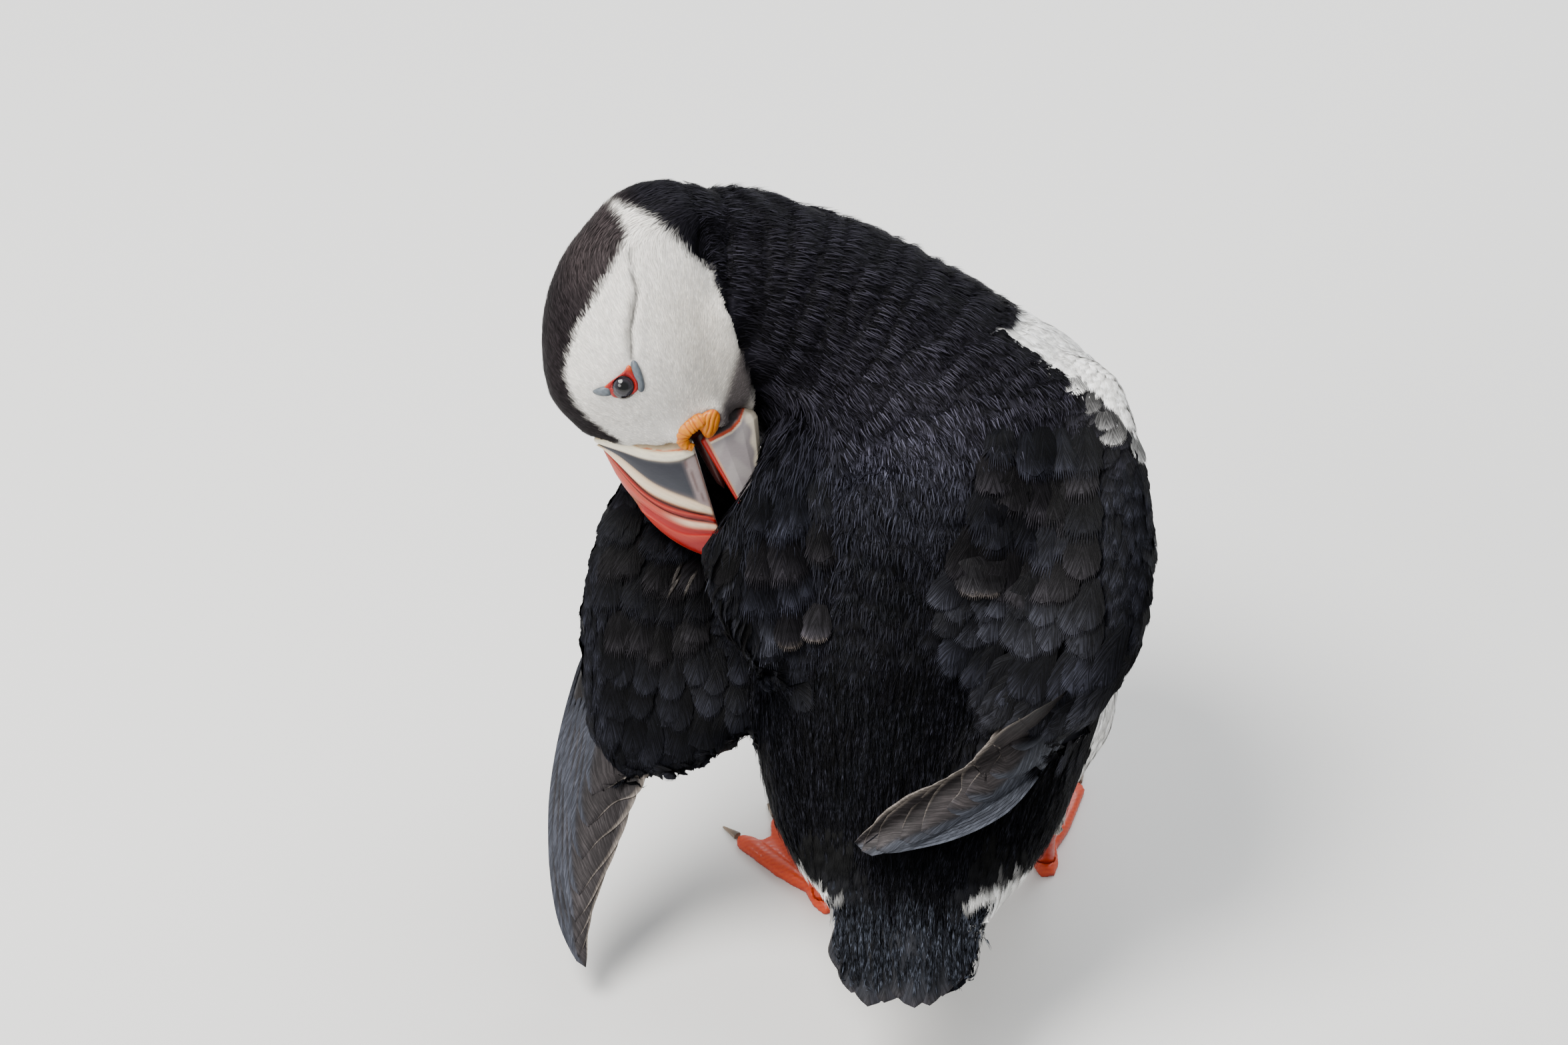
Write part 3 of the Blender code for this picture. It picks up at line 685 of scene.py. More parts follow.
def make_skin():
    rough = joined_flesh()
    co, edges = places_of(rough), edges_of(rough)
    co = neighbour_mean(co, edges, 3)
    rough.vertices.foreach_set("co", co.astype(np.float32).ravel())
    rough.update()
    part = nearest_parts(co)
    normal = normals_of(rough)
    depth = np.array([COAT_DEPTH.get(name, 2.5) for name in FLESH])[part] + 0.45
    tree = BVHTree.FromPolygons(co.tolist(), [p.vertices[:] for p in rough.polygons])
    inward = (co - normal * 0.2 * MM).tolist()
    reach = [tree.ray_cast(p, (-n).tolist(), 0.05)[3] for p, n in zip(inward, map(np.array, normal))]
    thick = np.array([0.05 if r is None else r for r in reach]) / MM
    thin = np.isin(part, [FLESH.index(n) for n in THIN_PARTS])
    depth = np.minimum(depth, thick * np.where(thin, 0.38, 0.3))
    depth = neighbour_mean(depth, edges, 6)
    near_bill = smoothstep(8.0, 2.0, gaps_to(co, BILL_NODES).min(0) / MM)
    depth = mixed_number(depth, 0.5, near_bill * (part == FLESH.index("head")))
    co = co - normal * depth[:, None] * MM
    nape = neighbour_mean((part == FLESH.index("head")).astype(float), edges, 14)
    nape = (1 - np.abs(2 * nape - 1)) ** 0.5 * smoothstep(16, 2, head_of(co)[:, 0])
    co = co + (neighbour_mean(co, edges, 40) - co) * nape[:, None]
    slope = slope_of(co)
    for name, share in (("wing_right_arm", smoothstep(58, 46, slope[:, 0])), ("scapular_left", smoothstep(-48, -38, slope[:, 0]))):
        seam = neighbour_mean((part == FLESH.index(name)).astype(float), edges, 12)
        seam = (1 - np.abs(2 * seam - 1)) ** 0.6 * share * smoothstep(0.1, 0.4, normal @ OUT)
        co = co + (neighbour_mean(co, edges, 70) - co) * seam[:, None]
    shoulder = np.exp(-(((slope[:, :2] - (52, 148)) / (17, 24)) ** 2).sum(1))
    shoulder = shoulder * np.isin(part, [FLESH.index(name) for name in ("trunk", "neck", "wing_right_arm")])
    co = co + unit((0.8, 0.6, 0.0)) @ SLOPE * (5.0 * shoulder)[:, None] * MM
    hump = 4.6 * np.exp(-(((slope[:, :2] - (-59, 197)) / (15, 12)) ** 2).sum(1)) * smoothstep(184, 192, slope[:, 1])
    co = co + normal * hump[:, None] * MM
    head = head_of(co)
    throat = smoothstep(-15, -23, head[:, 1]) * smoothstep(-2, 8, head[:, 0]) * smoothstep(40, 36, head[:, 0])
    throat = throat * (part == FLESH.index("head")) * smoothstep(-12, -4, head[:, 2])
    co = co + normal * (3.4 * throat)[:, None] * MM
    filled = np.exp(-(((slope[:, :2] - (-43, 131)) / (9, 10)) ** 2).sum(1)) * smoothstep(72, 56, slope[:, 2])
    filled = filled * np.isin(part, [FLESH.index(name) for name in ("trunk", "neck", "scapular_left")])
    co = co - 10.0 * filled[:, None] * ACROSS * MM
    for name, edge, outer_side in (("wing_left_hand", LEFT_EDGE, -1.0), ("wing_right_hand", RIGHT_EDGE, 1.0)):
        rows = part == FLESH.index(name)
        co[rows] += narrowing(slope[rows], edge, outer_side)
        co[rows] = neighbour_mean(co, edges, 14)[rows]
    flank = np.exp(-(((slope[:, :2] - (51, 42)) / (9, 14)) ** 2).sum(1)) * smoothstep(84, 70, slope[:, 2])
    co = co + ACROSS * (3.5 * flank * (part == FLESH.index("trunk")))[:, None] * MM
    over_back = np.isin(part, [FLESH.index(name) for name in ("trunk", "neck")]) * smoothstep(62, 84, slope[:, 1])
    co = co + normal * (1.7 * over_back * (plumage_row(slope) - 0.5))[:, None] * MM
    edge = 3.0 + np.interp(slope[:, 1], (62, 70, 80, 90, 96, 102, 112, 124, 135), (-50, -57, -62, -65, -65, -62, -55, -48, -39))
    over = np.maximum(edge - slope[:, 0], 0) * (part == FLESH.index("scapular_left")) * (slope[:, 1] > 60)
    co = co + neighbour_mean(over, edges, 3)[:, None] * ACROSS * MM
    tail_end = (part == FLESH.index("tail")) * np.minimum(slope[:, 1] + 28, 0) * 0.42
    co = co - tail_end[:, None] * ALONG * MM
    rough.vertices.foreach_set("co", co.astype(np.float32).ravel())
    rough.update()
    store(rough, "part", part.astype(float))
    finer_face(rough)
    return finish_skin(rough)


def finer_face(mesh):
    """Splits the face's quads in four, so that its fold and lids have points enough."""
    head = head_of(places_of(mesh))
    band = (head[:, 0] > FACE_BAND[0]) & (head[:, 0] < FACE_BAND[1]) & (np.abs(head[:, 1] - 6) < 16)
    band &= fetch(mesh, "part").round().astype(int) == FLESH.index("head")
    bm = bmesh.new()
    bm.from_mesh(mesh)
    bm.verts.ensure_lookup_table()
    split = [e for e in bm.edges if all(band[v.index] for v in e.verts)]
    bmesh.ops.subdivide_edges(bm, edges=split, cuts=1, use_grid_fill=True)
    bmesh.ops.triangulate(bm, faces=[f for f in bm.faces if len(f.verts) > 4])
    bm.to_mesh(mesh)
    bm.free()


def fold_and_sockets(co, normal):
    """Presses the fold behind each eye into the face, and a shallow bowl round each eye."""
    head = head_of(co)
    gap, along = line_distance(head[:, :2], FOLD_LINE)
    length = len(FOLD_LINE) - 1
    strength = smoothstep(length, length * 0.45, along) * smoothstep(-0.3, 0.6, along)
    side = np.abs(head[:, 2]) > 8
    fold = 1.6 * np.exp(-((gap / 0.9) ** 2)) - 0.35 * np.exp(-(((gap - 2.6) / 1.6) ** 2))
    eye = np.hypot(head[:, 0] - 17.2, head[:, 1] - 11.3)
    bowl = 0.6 * np.exp(-((eye / 4.6) ** 2))
    return co - normal * (side * (strength * fold + bowl))[:, None] * MM


def finish_skin(mesh):
    co, edges = places_of(mesh), edges_of(mesh)
    normal = normals_of(mesh)
    part = fetch(mesh, "part").round().astype(int)
    is_head = part == FLESH.index("head")
    co[is_head] = fold_and_sockets(co[is_head], normal[is_head])
    mesh.vertices.foreach_set("co", co.astype(np.float32).ravel())
    mesh.update()
    normal = normals_of(mesh)
    lie = lie_of_coat(co, part)
    lie = lie - normal * (lie * normal).sum(1)[:, None]
    lie = unit(neighbour_mean(lie, edges, 10))
    wing = np.isin(part, [FLESH.index(name) for name in WING_PARTS]).astype(float)
    tone = body_tone(co, neighbour_mean(wing, edges, 2))
    headness = neighbour_mean(is_head.astype(float), edges, 3)
    tone = mixed(tone, head_tone(co), np.clip(headness * 3 - 1, 0, 1))
    store(mesh, "lie", lie)
    store(mesh, "tone", np.concatenate((tone, np.ones((len(tone), 1))), 1))
    skin = add_object("skin", mesh)
    mesh.shade_smooth()
    unwrap(skin)
    return skin


def unwrap(obj):
    """An unwrap of obj's own shape, in the map that the coat's patches lie on too."""
    obj.data.uv_layers.new(name="OFBake")
    bpy.context.view_layer.objects.active = obj
    obj.select_set(True)
    bpy.ops.object.mode_set(mode="EDIT")
    bpy.ops.mesh.select_all(action="SELECT")
    bpy.ops.uv.smart_project(angle_limit=math.radians(66), island_margin=0.002)
    bpy.ops.object.mode_set(mode="OBJECT")
    obj.select_set(False)


# ---------------------------------------------------------------- coat: feathers laid one by one

BAKE_PATCH = 0.003
SPINE_STEPS = 4


def feather_shape(barbs, seed, sweep=0.30, thick=0.055, fray=0.06, neck=0.35, tip=0.0, bend=0.25):
    """A feather as barbs fanned from its shaft: across is -1 to 1, along 0 to 1, out 0 at the shaft to 1.

    sweep is how far a barb runs forward, neck where the vane is widest, and tip how pointed its end is.
    """
    rng = np.random.default_rng(seed)
    across, along, out, barb, faces, quads = [], [], [], [], [], []

    def vane_half(y):
        y = np.clip(y, 0, 1)
        rise = smoothstep(-0.35, neck, y)
        fall = np.sqrt(np.clip(1 - (np.clip(y - neck, 0, 1) / (1 - neck)) ** (2.4 - tip), 0, 1))
        return rise * fall

    count = 2 * barbs + 1
    for k in range(count):
        side = 0.0 if k == 2 * barbs else (-1.0 if k % 2 else 1.0)
        share = (k // 2 + 0.5) / barbs
        start = 0.02 + 0.86 * share if side else 0.0
        reach = sweep * (1.15 - 0.35 * share) * rng.uniform(0.85, 1.2)
        end = min(start + reach, 1.0) if side else 1.0
        end -= rng.uniform(0, fray) * 0.6
        wide = side * vane_half(end) * (1 + rng.uniform(-fray, fray))
        mid_y = start + (end - start) * (0.5 - 0.12 * abs(side))
        mid_x = wide * (0.5 + bend * 0.5)
        way = unit((wide + 1e-3 * side, (end - start) * 1.6))
        perp = np.array((-way[1], way[0])) * np.array((1.0, 0.6)) * thick * (1.0 if side else 0.6)
        first = len(across)
        for (x, y, o), half in (((0, start, 0), 1.0), ((mid_x, mid_y, 0.5), 0.95)):
            for s in (-1, 1):
                across.append(x + perp[0] * s * half)
                along.append(y + perp[1] * s * half)
                out.append(o)
                barb.append(k)
        across.append(wide)
        along.append(end)
        out.append(1.0)
        barb.append(k)
        quads.append((first, first + 1, first + 3, first + 2))
        faces.append((first + 2, first + 3, first + 4))
    return {
        "across": np.array(across), "along": np.array(along), "out": np.array(out),
        "barb": np.array(barb), "tri": np.array(faces), "quad": np.array(quads), "count": count,
    }


def spines(skin, tri, share, length, turn):
    """Each feather's path over the skin from its root: places, normals and cross ways at each step."""
    place, normal, lie, root = skin.at(tri, share)
    side = np.cross(lie, normal)
    lie = lie * np.cos(turn)[:, None] + side * np.sin(turn)[:, None]
    paths, normals, sides = [place], [normal], [np.cross(lie, normal)]
    step = length[:, None] * MM / SPINE_STEPS
    for _ in range(SPINE_STEPS):
        ahead = place + lie * step
        found, normal, field, _ = skin.snap(ahead)
        lie = unit(lie * 0.7 + field * 0.3)
        lie = unit(lie - normal * (lie * normal).sum(1)[:, None])
        far = np.linalg.norm(found - ahead, axis=1, keepdims=True)
        place = np.where(far > 0.6 * step, place + lie * step, found)
        paths.append(place)
        normals.append(normal)
        sides.append(np.cross(lie, normal))
    return np.stack(paths, 1), np.stack(normals, 1), np.stack(sides, 1), root


def vane_shape(seed, fringe=15, neck=0.5, square=2.4, sweep=0.16, fray=0.35):
    """A feather as a smooth vane whose far edge is cut into barbs, in feather_shape's form."""
    rng = np.random.default_rng(seed)
    full = 1.0 / (1.0 + sweep)

    def half(y):
        y = y / full
        end = np.clip((y - neck) / (1 - neck), 0, 1) ** square
        return (0.4 + 0.6 * smoothstep(0, neck, y)) * np.sqrt(1 - end)

    ys = np.array((0.0, 0.32, 0.56, 0.78, 0.91, 0.97)) * full
    xs = np.linspace(-1, 1, 5)
    across = (half(ys)[:, None] * xs).ravel()
    along = (ys[:, None] - 0.06 * np.abs(xs) ** 2 * smoothstep(0.4, 1, ys / full)[:, None]).ravel()
    index = np.arange(30).reshape(6, 5)
    quads = np.stack((index[:-1, :-1], index[:-1, 1:], index[1:, 1:], index[1:, :-1]), -1).reshape(-1, 4)
    across, along, out, barb, tris = list(across), list(along), [0.0] * 30, [0] * 30, []
    turns = (np.arange(fringe) + 0.5) / fringe * 2 - 1
    for k, turn in enumerate(turns):
        x = math.sin(turn * math.pi * 0.5) * 0.97
        y = (neck + (1 - neck) * (1 - abs(x) ** 2) ** (1 / square)) * full
        way = unit((0.55 * x, 1.0))
        reach = sweep * full * rng.uniform(1 - fray, 1) * 1.4
        base = np.array((x * 0.80, neck * 0.6 * full + (y - neck * 0.6 * full) * 0.80))
        spread = np.array((0.75, -0.42 * x)) * 1.9 / fringe
        end = np.minimum(np.array((x, y)) + way * reach * (0.5, 1.0), (9, 1.0))
        first = len(across)
        for spot, share in ((base - spread, 0.2), (base + spread, 0.2), (end, 1.0)):
            across.append(spot[0])
            along.append(spot[1])
            out.append(share)
            barb.append(k + 1)
        tris.append((first, first + 1, first + 2))
    return {
        "across": np.array(across), "along": np.array(along), "out": np.array(out),
        "barb": np.array(barb), "tri": np.array(tris), "quad": quads, "count": fringe + 1,
    }


class Layer:
    """Feathers laid along their paths: each vertex's place, tone, vane place and patch, and the faces."""

    def __init__(self):
        self.rows, self.tris, self.quads, self.count = [], [], [], 0

    def add(self, place, tone, vane, patch, tri, quad, copies):
        step = place.shape[1]
        starts = self.count + np.arange(copies)[:, None, None] * step
        self.tris.append((starts + tri[None]).reshape(-1, 3))
        self.quads.append((starts + quad[None]).reshape(-1, 4))
        self.rows.append([field.reshape(-1, field.shape[-1]) for field in (place, tone, vane, patch)])
        self.count += copies * step


def lay(layer, shapes, paths, normals, sides, root, length, half, lift, cup, tone, seed, shade, rim, rim_tone,
        deep):
    """Places every feather's shape along its path.

    lift is the height over the skin at the root and at the tip, in mm; shade is how much barbs differ, rim how
    strongly the vane's border takes rim_tone, and deep how much darker a feather is towards its root, as painted
    shade under the row that overlaps it, and from which share of its length on it grows paler, up to painted light at
    its tip.
    """
    rng = np.random.default_rng(seed)
    pick = rng.integers(len(shapes), size=len(root))
    for kind, shape in enumerate(shapes):
        rows = np.flatnonzero(pick == kind)
        if not len(rows):
            continue
        y = np.clip(shape["along"], 0, 1) * SPINE_STEPS
        low = np.minimum(y.astype(int), SPINE_STEPS - 1)
        t = (y - low)[None, :, None]

        def along_spine(field):
            return field[rows][:, low] * (1 - t) + field[rows][:, low + 1] * t

        x = shape["across"][None, :] * half[rows][:, None]
        y = shape["along"][None, :] + 0 * x
        height = lift[rows, :1] + (lift[rows, 1:] - lift[rows, :1]) * np.clip(y, 0, 1) ** 0.75
        height = height - cup * (x / half[rows][:, None]) ** 2 * half[rows][:, None] * 0.18
        ripple = rng.normal(size=(len(rows), shape["count"]))[:, shape["barb"]]
        height = height + ripple * shape["out"][None, :] * 0.10
        place = along_spine(paths) + along_spine(sides) * x[..., None] * MM
        place = place + along_spine(normals) * height[..., None] * MM
        bright = 1 + shade * rng.uniform(-1, 1, size=(len(rows), shape["count"]))[:, shape["barb"]]
        bright = np.where(shape["out"][None, :] > 0, bright, 1.0)
        # Painted light and shade: one side of every feather lighter, the other darker.
        bright = bright * (1 + 0.45 * x / half[rows][:, None])
        # Painted shade towards the root, where the row above overlaps; painted light towards the tip.
        bright = bright * (1 - deep[0] + 1.35 * deep[0] * smoothstep(deep[1], deep[1] + 0.45, y))
        colour = tone[rows][:, None, :] * bright[..., None]
        if rim:
            reach = smoothstep(0.84, 0.92, y + 0.03 * (x / half[rows][:, None]) ** 4)
            colour = mixed(colour, np.asarray(rim_tone)[rows][:, None, :], rim * reach)
        vane = np.stack((np.abs(x), y * length[rows][:, None], rng.random(len(rows))[:, None] + 0 * x), -1)
        patch = np.stack((shape["across"] * 0.5 + 0.5, shape["along"]), 1) * BAKE_PATCH
        layer.add(place, colour, vane, root[rows][:, None, :] + patch[None], shape["tri"], shape["quad"], len(rows))


def feather_object(name, layers, material):
    """One mesh of all the layers' feathers, with their tones and their places on the skin's unwrap."""
    first, rows, tris, quads = 0, [], [], []
    for layer in layers:
        rows += layer.rows
        tris += [tri + first for tri in layer.tris]
        quads += [quad + first for quad in layer.quads]
        first += layer.count
    place, tone, vane, patch = (np.concatenate([row[k] for row in rows]) for k in range(4))
    mesh = new_mesh(name, place, [np.concatenate(tris), np.concatenate(quads)])
    tone = np.clip(tone, 0, 1)
    store(mesh, "tone", np.concatenate((tone, np.ones((len(tone), 1))), 1))
    store(mesh, "vane", vane)
    corner = np.zeros(len(mesh.loops), np.int32)
    mesh.loops.foreach_get("vertex_index", corner)
    mesh.uv_layers.new(name="OFBake").data.foreach_set("uv", patch[corner].astype(np.float32).ravel())
    return add_object(name, mesh, material)


def value_at(given, place):
    return given(place) if callable(given) else np.full(len(place), float(given))


def placed(layer, skin, part, spots, length, half, lift, tones, seed, shapes, ways=None, rim=0.0, rim_tone=None,
           cup=0.35, shade=0.25, deep=(0.7, 0.45)):
    """Feathers rooted where spots, as (across, along), meet a part of the skin from outside.

    They point along ways, or else along the skin's lie. Sizes and tones are one, or one for each spot.
    """
    hits = [skin.tree.ray_cast(Vector(on_slope((x, y, 160))), Vector(-OUT), 0.3) for x, y in spots]
    ids = [FLESH.index(name) for name in part]
    kept = [k for k, hit in enumerate(hits) if hit[0] and skin.part[skin.tri[hit[2], 0]] in ids]
    place, tri = np.array([hits[k][0] for k in kept]), np.array([hits[k][2] for k in kept])
    share = skin.shares(place, tri)
    _, normal, lie, _ = skin.at(tri, share)
    count = len(tri)
    turn = np.random.default_rng(seed).normal(size=count) * 0.04
    if ways is not None:
        want = unit(np.array([slope_way(*ways[k], 0) for k in kept]))
        turn = np.arctan2((want * np.cross(lie, normal)).sum(1), (want * lie).sum(1))

    def each(given, width=0):
        shape = (len(spots), width) if width else (len(spots),)
        return np.broadcast_to(np.asarray(given(place_all) if callable(given) else given, float), shape)[kept]

    place_all = np.array([hit[0] if hit[0] else (0, 0, 0) for hit in hits], float)
    long, wide = each(length).copy(), each(half).copy()
    paths, normals, sides, root = spines(skin, tri, share, long, turn)
    border = each(rim_tone, 3) if rim else np.zeros((count, 3))
    lay(layer, shapes, paths, normals, sides, root, long, wide, each(lift, 2).copy(), cup, each(tones, 3), seed,
        shade, rim, border, deep)
    return layer


def fan(layer, skin, part, tips, ways, count, length, half, lift, tone, seed, shapes, **more):
    """A row of feathers whose tips lie evenly along a curve; ways are given at the curve's ends and between."""
    rng = np.random.default_rng(seed)
    ends = curve_through(tips, count) + rng.normal(size=(count, 2)) * 1.3
    share, keys = np.linspace(0, 1, count), np.linspace(0, 1, len(ways))
    way = unit(np.stack([np.interp(share, keys, [w[k] for w in ways]) for k in (0, 1)], 1))
    way = unit(way + rng.normal(size=(count, 2)) * 0.06)
    long = length * rng.uniform(0.92, 1.08, count)
    tones = np.array(tone) * rng.uniform(0.5, 1.7, (count, 1))
    spots = ends - way * long[:, None]
    return placed(layer, skin, part, spots.tolist(), long, half, lift, tones, seed, shapes, ways=way.tolist(), **more)


def in_rows(line, step, gap, reach, bow, seed, jitter=0.10):
    """Spots of shingled rows down a line, as (across, along); bow is how far each row's ends lag."""
    rng = np.random.default_rng(seed)
    fine = curve_through(np.array(line, float)[:, :2], 120)
    way = unit(np.gradient(fine, axis=0))
    run = np.concatenate(([0], np.cumsum(np.linalg.norm(np.diff(fine, axis=0), axis=1))))
    spots = []
    for k, along in enumerate(np.arange(0, run[-1] + 12, step)):
        for across in np.arange(-reach, reach, gap) + (k % 2) * gap / 2:
            u = along - bow * across**2 + rng.normal() * jitter * step
            v = across + rng.normal() * jitter * gap
            spot = np.array([np.interp(u, run, fine[:, 0]), np.interp(u, run, fine[:, 1])])
            ahead = np.array([np.interp(u, run, way[:, 0]), np.interp(u, run, way[:, 1])])
            spots.append(spot + ahead * (u - np.clip(u, 0, run[-1])) + np.array((-ahead[1], ahead[0])) * v)
    return spots


def scattered(skin, weight, spacing, length, half, lift, tone_of, seed, shapes, cup=1.0, spread=0.12, shade=0.30,
              rim=0.0, rim_tone=None, vary=0.18, edge=1.0, deep=(0.65, 0.55)):
    """A layer of feathers scattered over the triangles that weight picks."""
    tri, share = skin.roots(weight, spacing, seed)
    rng = np.random.default_rng(seed + 1)
    count = len(tri)
    place = (skin.co[skin.tri[tri]] * share[..., None]).sum(1)
    scale = rng.uniform(0.85, 1.15, count)
    long, wide = value_at(length, place) * scale, value_at(half, place) * scale
    high = value_at(lift[1], place) * rng.uniform(0.8, 1.2, count)
    raised = np.stack((np.full(count, lift[0]), high), 1)
    turn = rng.normal(size=count) * spread
    paths, normals, sides, root = spines(skin, tri, share, long, turn)
    wide = wide * (edge + (1 - edge) * smoothstep(0.1, 0.75, np.abs(normals[:, 0] @ OUT)))
    raised[:, 1] *= edge + (1 - edge) * smoothstep(0.1, 0.75, np.abs(normals[:, 0] @ OUT))
    tone = tone_of(place) * rng.uniform(1 - vary, 1 + vary, (count, 1))
    border = rim_tone(place) if rim else None
    layer = Layer()
    lay(layer, shapes, paths, normals, sides, root, long, wide, raised, cup, tone, seed + 2, shade, rim, border, deep)
    return layer


# ---------------------------------------------------------------- coat: the head's velvet, as a scatter tree


def velvet_tuft():
    """Three thin blades from one root, lying along +Y, with each blade's patch for the baked map."""
    places, tris, quads, patch = [], [], [], []
    for k, (turn, reach, rise) in enumerate(((0.0, 1.0, 0.16), (0.28, 0.86, 0.09), (-0.28, 0.9, 0.12))):
        way = np.array((math.sin(turn), math.cos(turn), 0.0))
        side = np.array((way[1], -way[0], 0.0))
        first = len(places)
        for share, half, high in ((0.0, 0.5, 0.0), (0.5, 0.42, 0.75), (1.0, 0.0, 1.0)):
            for s in ((-1, 1) if half else (0,)):
                spot = np.array((0.22 * (k % 2) - 0.11 * k, 0, 0)) + way * share * reach
                spot = spot + side * s * half * 0.42 + np.array((0, 0, high * rise))
                places.append(spot)
                patch.append((np.clip(0.5 + spot[0], 0, 1) * BAKE_PATCH, share * BAKE_PATCH, 0))
        quads.append((first, first + 1, first + 3, first + 2))
        tris.append((first + 2, first + 3, first + 4))
    mesh = new_mesh("velvet_tuft", np.array(places), [np.array(tris), np.array(quads)])
    store(mesh, "patch", np.array(patch))
    return add_object("velvet_tuft", mesh)


def scatter_tree():
    """Thin tufts spread over a patch of skin, standing on its normals and lying along its lie."""
    group = bpy.data.node_groups.new("velvet_scatter", "GeometryNodeTree")
    tree = Tree(group)
    face = group.interface
    face.new_socket("Geometry", in_out="INPUT", socket_type="NodeSocketGeometry")
    for name, kind in (("Tuft", "Object"), ("Spacing", "Float"), ("Length", "Float"), ("Width", "Float"),
                       ("Lift", "Float"), ("Seed", "Int"), ("Finish", "Material")):
        face.new_socket(name, in_out="INPUT", socket_type="NodeSocket" + kind)
    face.new_socket("Geometry", in_out="OUTPUT", socket_type="NodeSocketGeometry")
    made = group.nodes.new("NodeGroupInput")
    given = {socket.name: Value(tree, socket) for socket in made.outputs if socket.name}

    def field(name, kind="FLOAT_VECTOR"):
        return tree.node("GeometryNodeInputNamedAttribute", {"data_type": kind}, {"Name": name})

    spread = {"Mesh": given["Geometry"], "Distance Min": given["Spacing"], "Density Max": 5.0e6,
              "Density Factor": field("cover", "FLOAT"), "Seed": given["Seed"]}
    points = tree.node("GeometryNodeDistributePointsOnFaces", {"distribute_method": "POISSON"}, spread)
    normal = Value(tree, points.socket.node.outputs["Normal"])
    rooted = tree.node("GeometryNodeStoreNamedAttribute", {"data_type": "FLOAT_VECTOR", "domain": "POINT"},
                       {"Geometry": points, "Name": "root_place", "Value": field("root_map")})
    stand = tree.node("FunctionNodeAlignRotationToVector", {"axis": "Z"}, {"Vector": normal})
    aimed = tree.node("FunctionNodeAlignRotationToVector", {"axis": "Y", "pivot_axis": "Z"},
                      {"Rotation": stand, "Vector": field("lie")})

    def chance(low, high, seed, kind="FLOAT"):
        names = ("Min", "Max") if kind == "FLOAT_VECTOR" else (2, 3)
        low = low if kind == "FLOAT" else tuple(low)
        high = high if kind == "FLOAT" else tuple(high)
        return tree.node("FunctionNodeRandomValue", {"data_type": kind},
                         {names[0]: low, names[1]: high, "Seed": seed}, output=0 if kind == "FLOAT_VECTOR" else 1)

    jitter = chance((-0.08, -0.06, -0.20), (0.10, 0.06, 0.20), 11, "FLOAT_VECTOR")
    turned = tree.node("FunctionNodeRotateRotation", {"rotation_space": "LOCAL"},
                       {"Rotation": aimed, "Rotate By": jitter})
    long = given["Length"] * chance(0.75, 1.2, 12) * field("size", "FLOAT")
    scale = tree.node("ShaderNodeCombineXYZ", None,
                      {"X": given["Width"] * chance(0.8, 1.25, 13), "Y": long, "Z": given["Lift"] * long})
    tuft = tree.node("GeometryNodeObjectInfo", None, {"Object": given["Tuft"]}, output=4)
    placed = tree.node("GeometryNodeInstanceOnPoints", None,
                       {"Points": rooted, "Instance": tuft, "Rotation": turned, "Scale": scale})
    bright = tree.node("GeometryNodeStoreNamedAttribute", {"data_type": "FLOAT", "domain": "INSTANCE"},
                       {"Geometry": placed, "Name": "bright", "Value": chance(0.80, 1.16, 14)})
    real = tree.node("GeometryNodeRealizeInstances", None, {"Geometry": bright})
    patch = tree.node("ShaderNodeVectorMath", {"operation": "ADD"}, {0: field("root_place"), 1: field("patch")})
    mapped = tree.node("GeometryNodeStoreNamedAttribute", {"data_type": "FLOAT2", "domain": "CORNER"},
                       {"Geometry": real, "Name": "OFBake", "Value": patch})
    dressed = tree.node("GeometryNodeSetMaterial", None, {"Geometry": mapped, "Material": given["Finish"]})
    smooth = tree.node("GeometryNodeSetShadeSmooth", None, {"Geometry": dressed})
    tree.node("NodeGroupOutput", None, {"Geometry": smooth})
    return group


def skin_patch(skin, weight, cover, size, above):
    """The part of the skin under one velvet piece, moved above it, with the fields that the scatter reads."""
    mesh = skin.mesh.copy()
    mesh.vertices.foreach_set("co", (skin.co + skin.normal * above * MM).astype(np.float32).ravel())
    store(mesh, "cover", cover)
    store(mesh, "size", size)
    corner = np.zeros(len(mesh.loops), np.int32)
    mesh.loops.foreach_get("vertex_index", corner)
    flat = fetch(mesh, "OFBake")
    store(mesh, "root_map", np.concatenate((flat, np.zeros((len(flat), 1))), 1), "CORNER")
    mesh.attributes.remove(mesh.attributes["OFBake"])
    bm = bmesh.new()
    bm.from_mesh(mesh)
    gone = [f for f in bm.faces if not weight[[v.index for v in f.verts]].any()]
    bmesh.ops.delete(bm, geom=gone, context="FACES")
    bm.to_mesh(mesh)
    bm.free()
    return add_object("velvet_patch", mesh)


def velvet(name, skin, weight, cover, size, spacing, length, width, lift, seed, material, tuft, group, above=0.0):
    patch = skin_patch(skin, weight, cover, size, above)
    scatter = patch.modifiers.new("velvet", "NODES")
    scatter.node_group = group
    given = {"Tuft": tuft, "Spacing": spacing * MM, "Length": length * MM, "Width": width * MM, "Lift": lift,
             "Seed": seed, "Finish": material}
    for socket in group.interface.items_tree:
        if socket.in_out == "INPUT" and socket.name in given:
            scatter[socket.identifier] = given[socket.name]
    mesh = evaluated_mesh(patch)
    mesh.name = name
    bpy.data.objects.remove(patch)
    for extra in ("patch", "root_place", "root_map", "cover", "size", "lie", "part"):
        if extra in mesh.attributes:
            mesh.attributes.remove(mesh.attributes[extra])
    return add_object(name, mesh)


# ---------------------------------------------------------------- surfaces made as grids of points


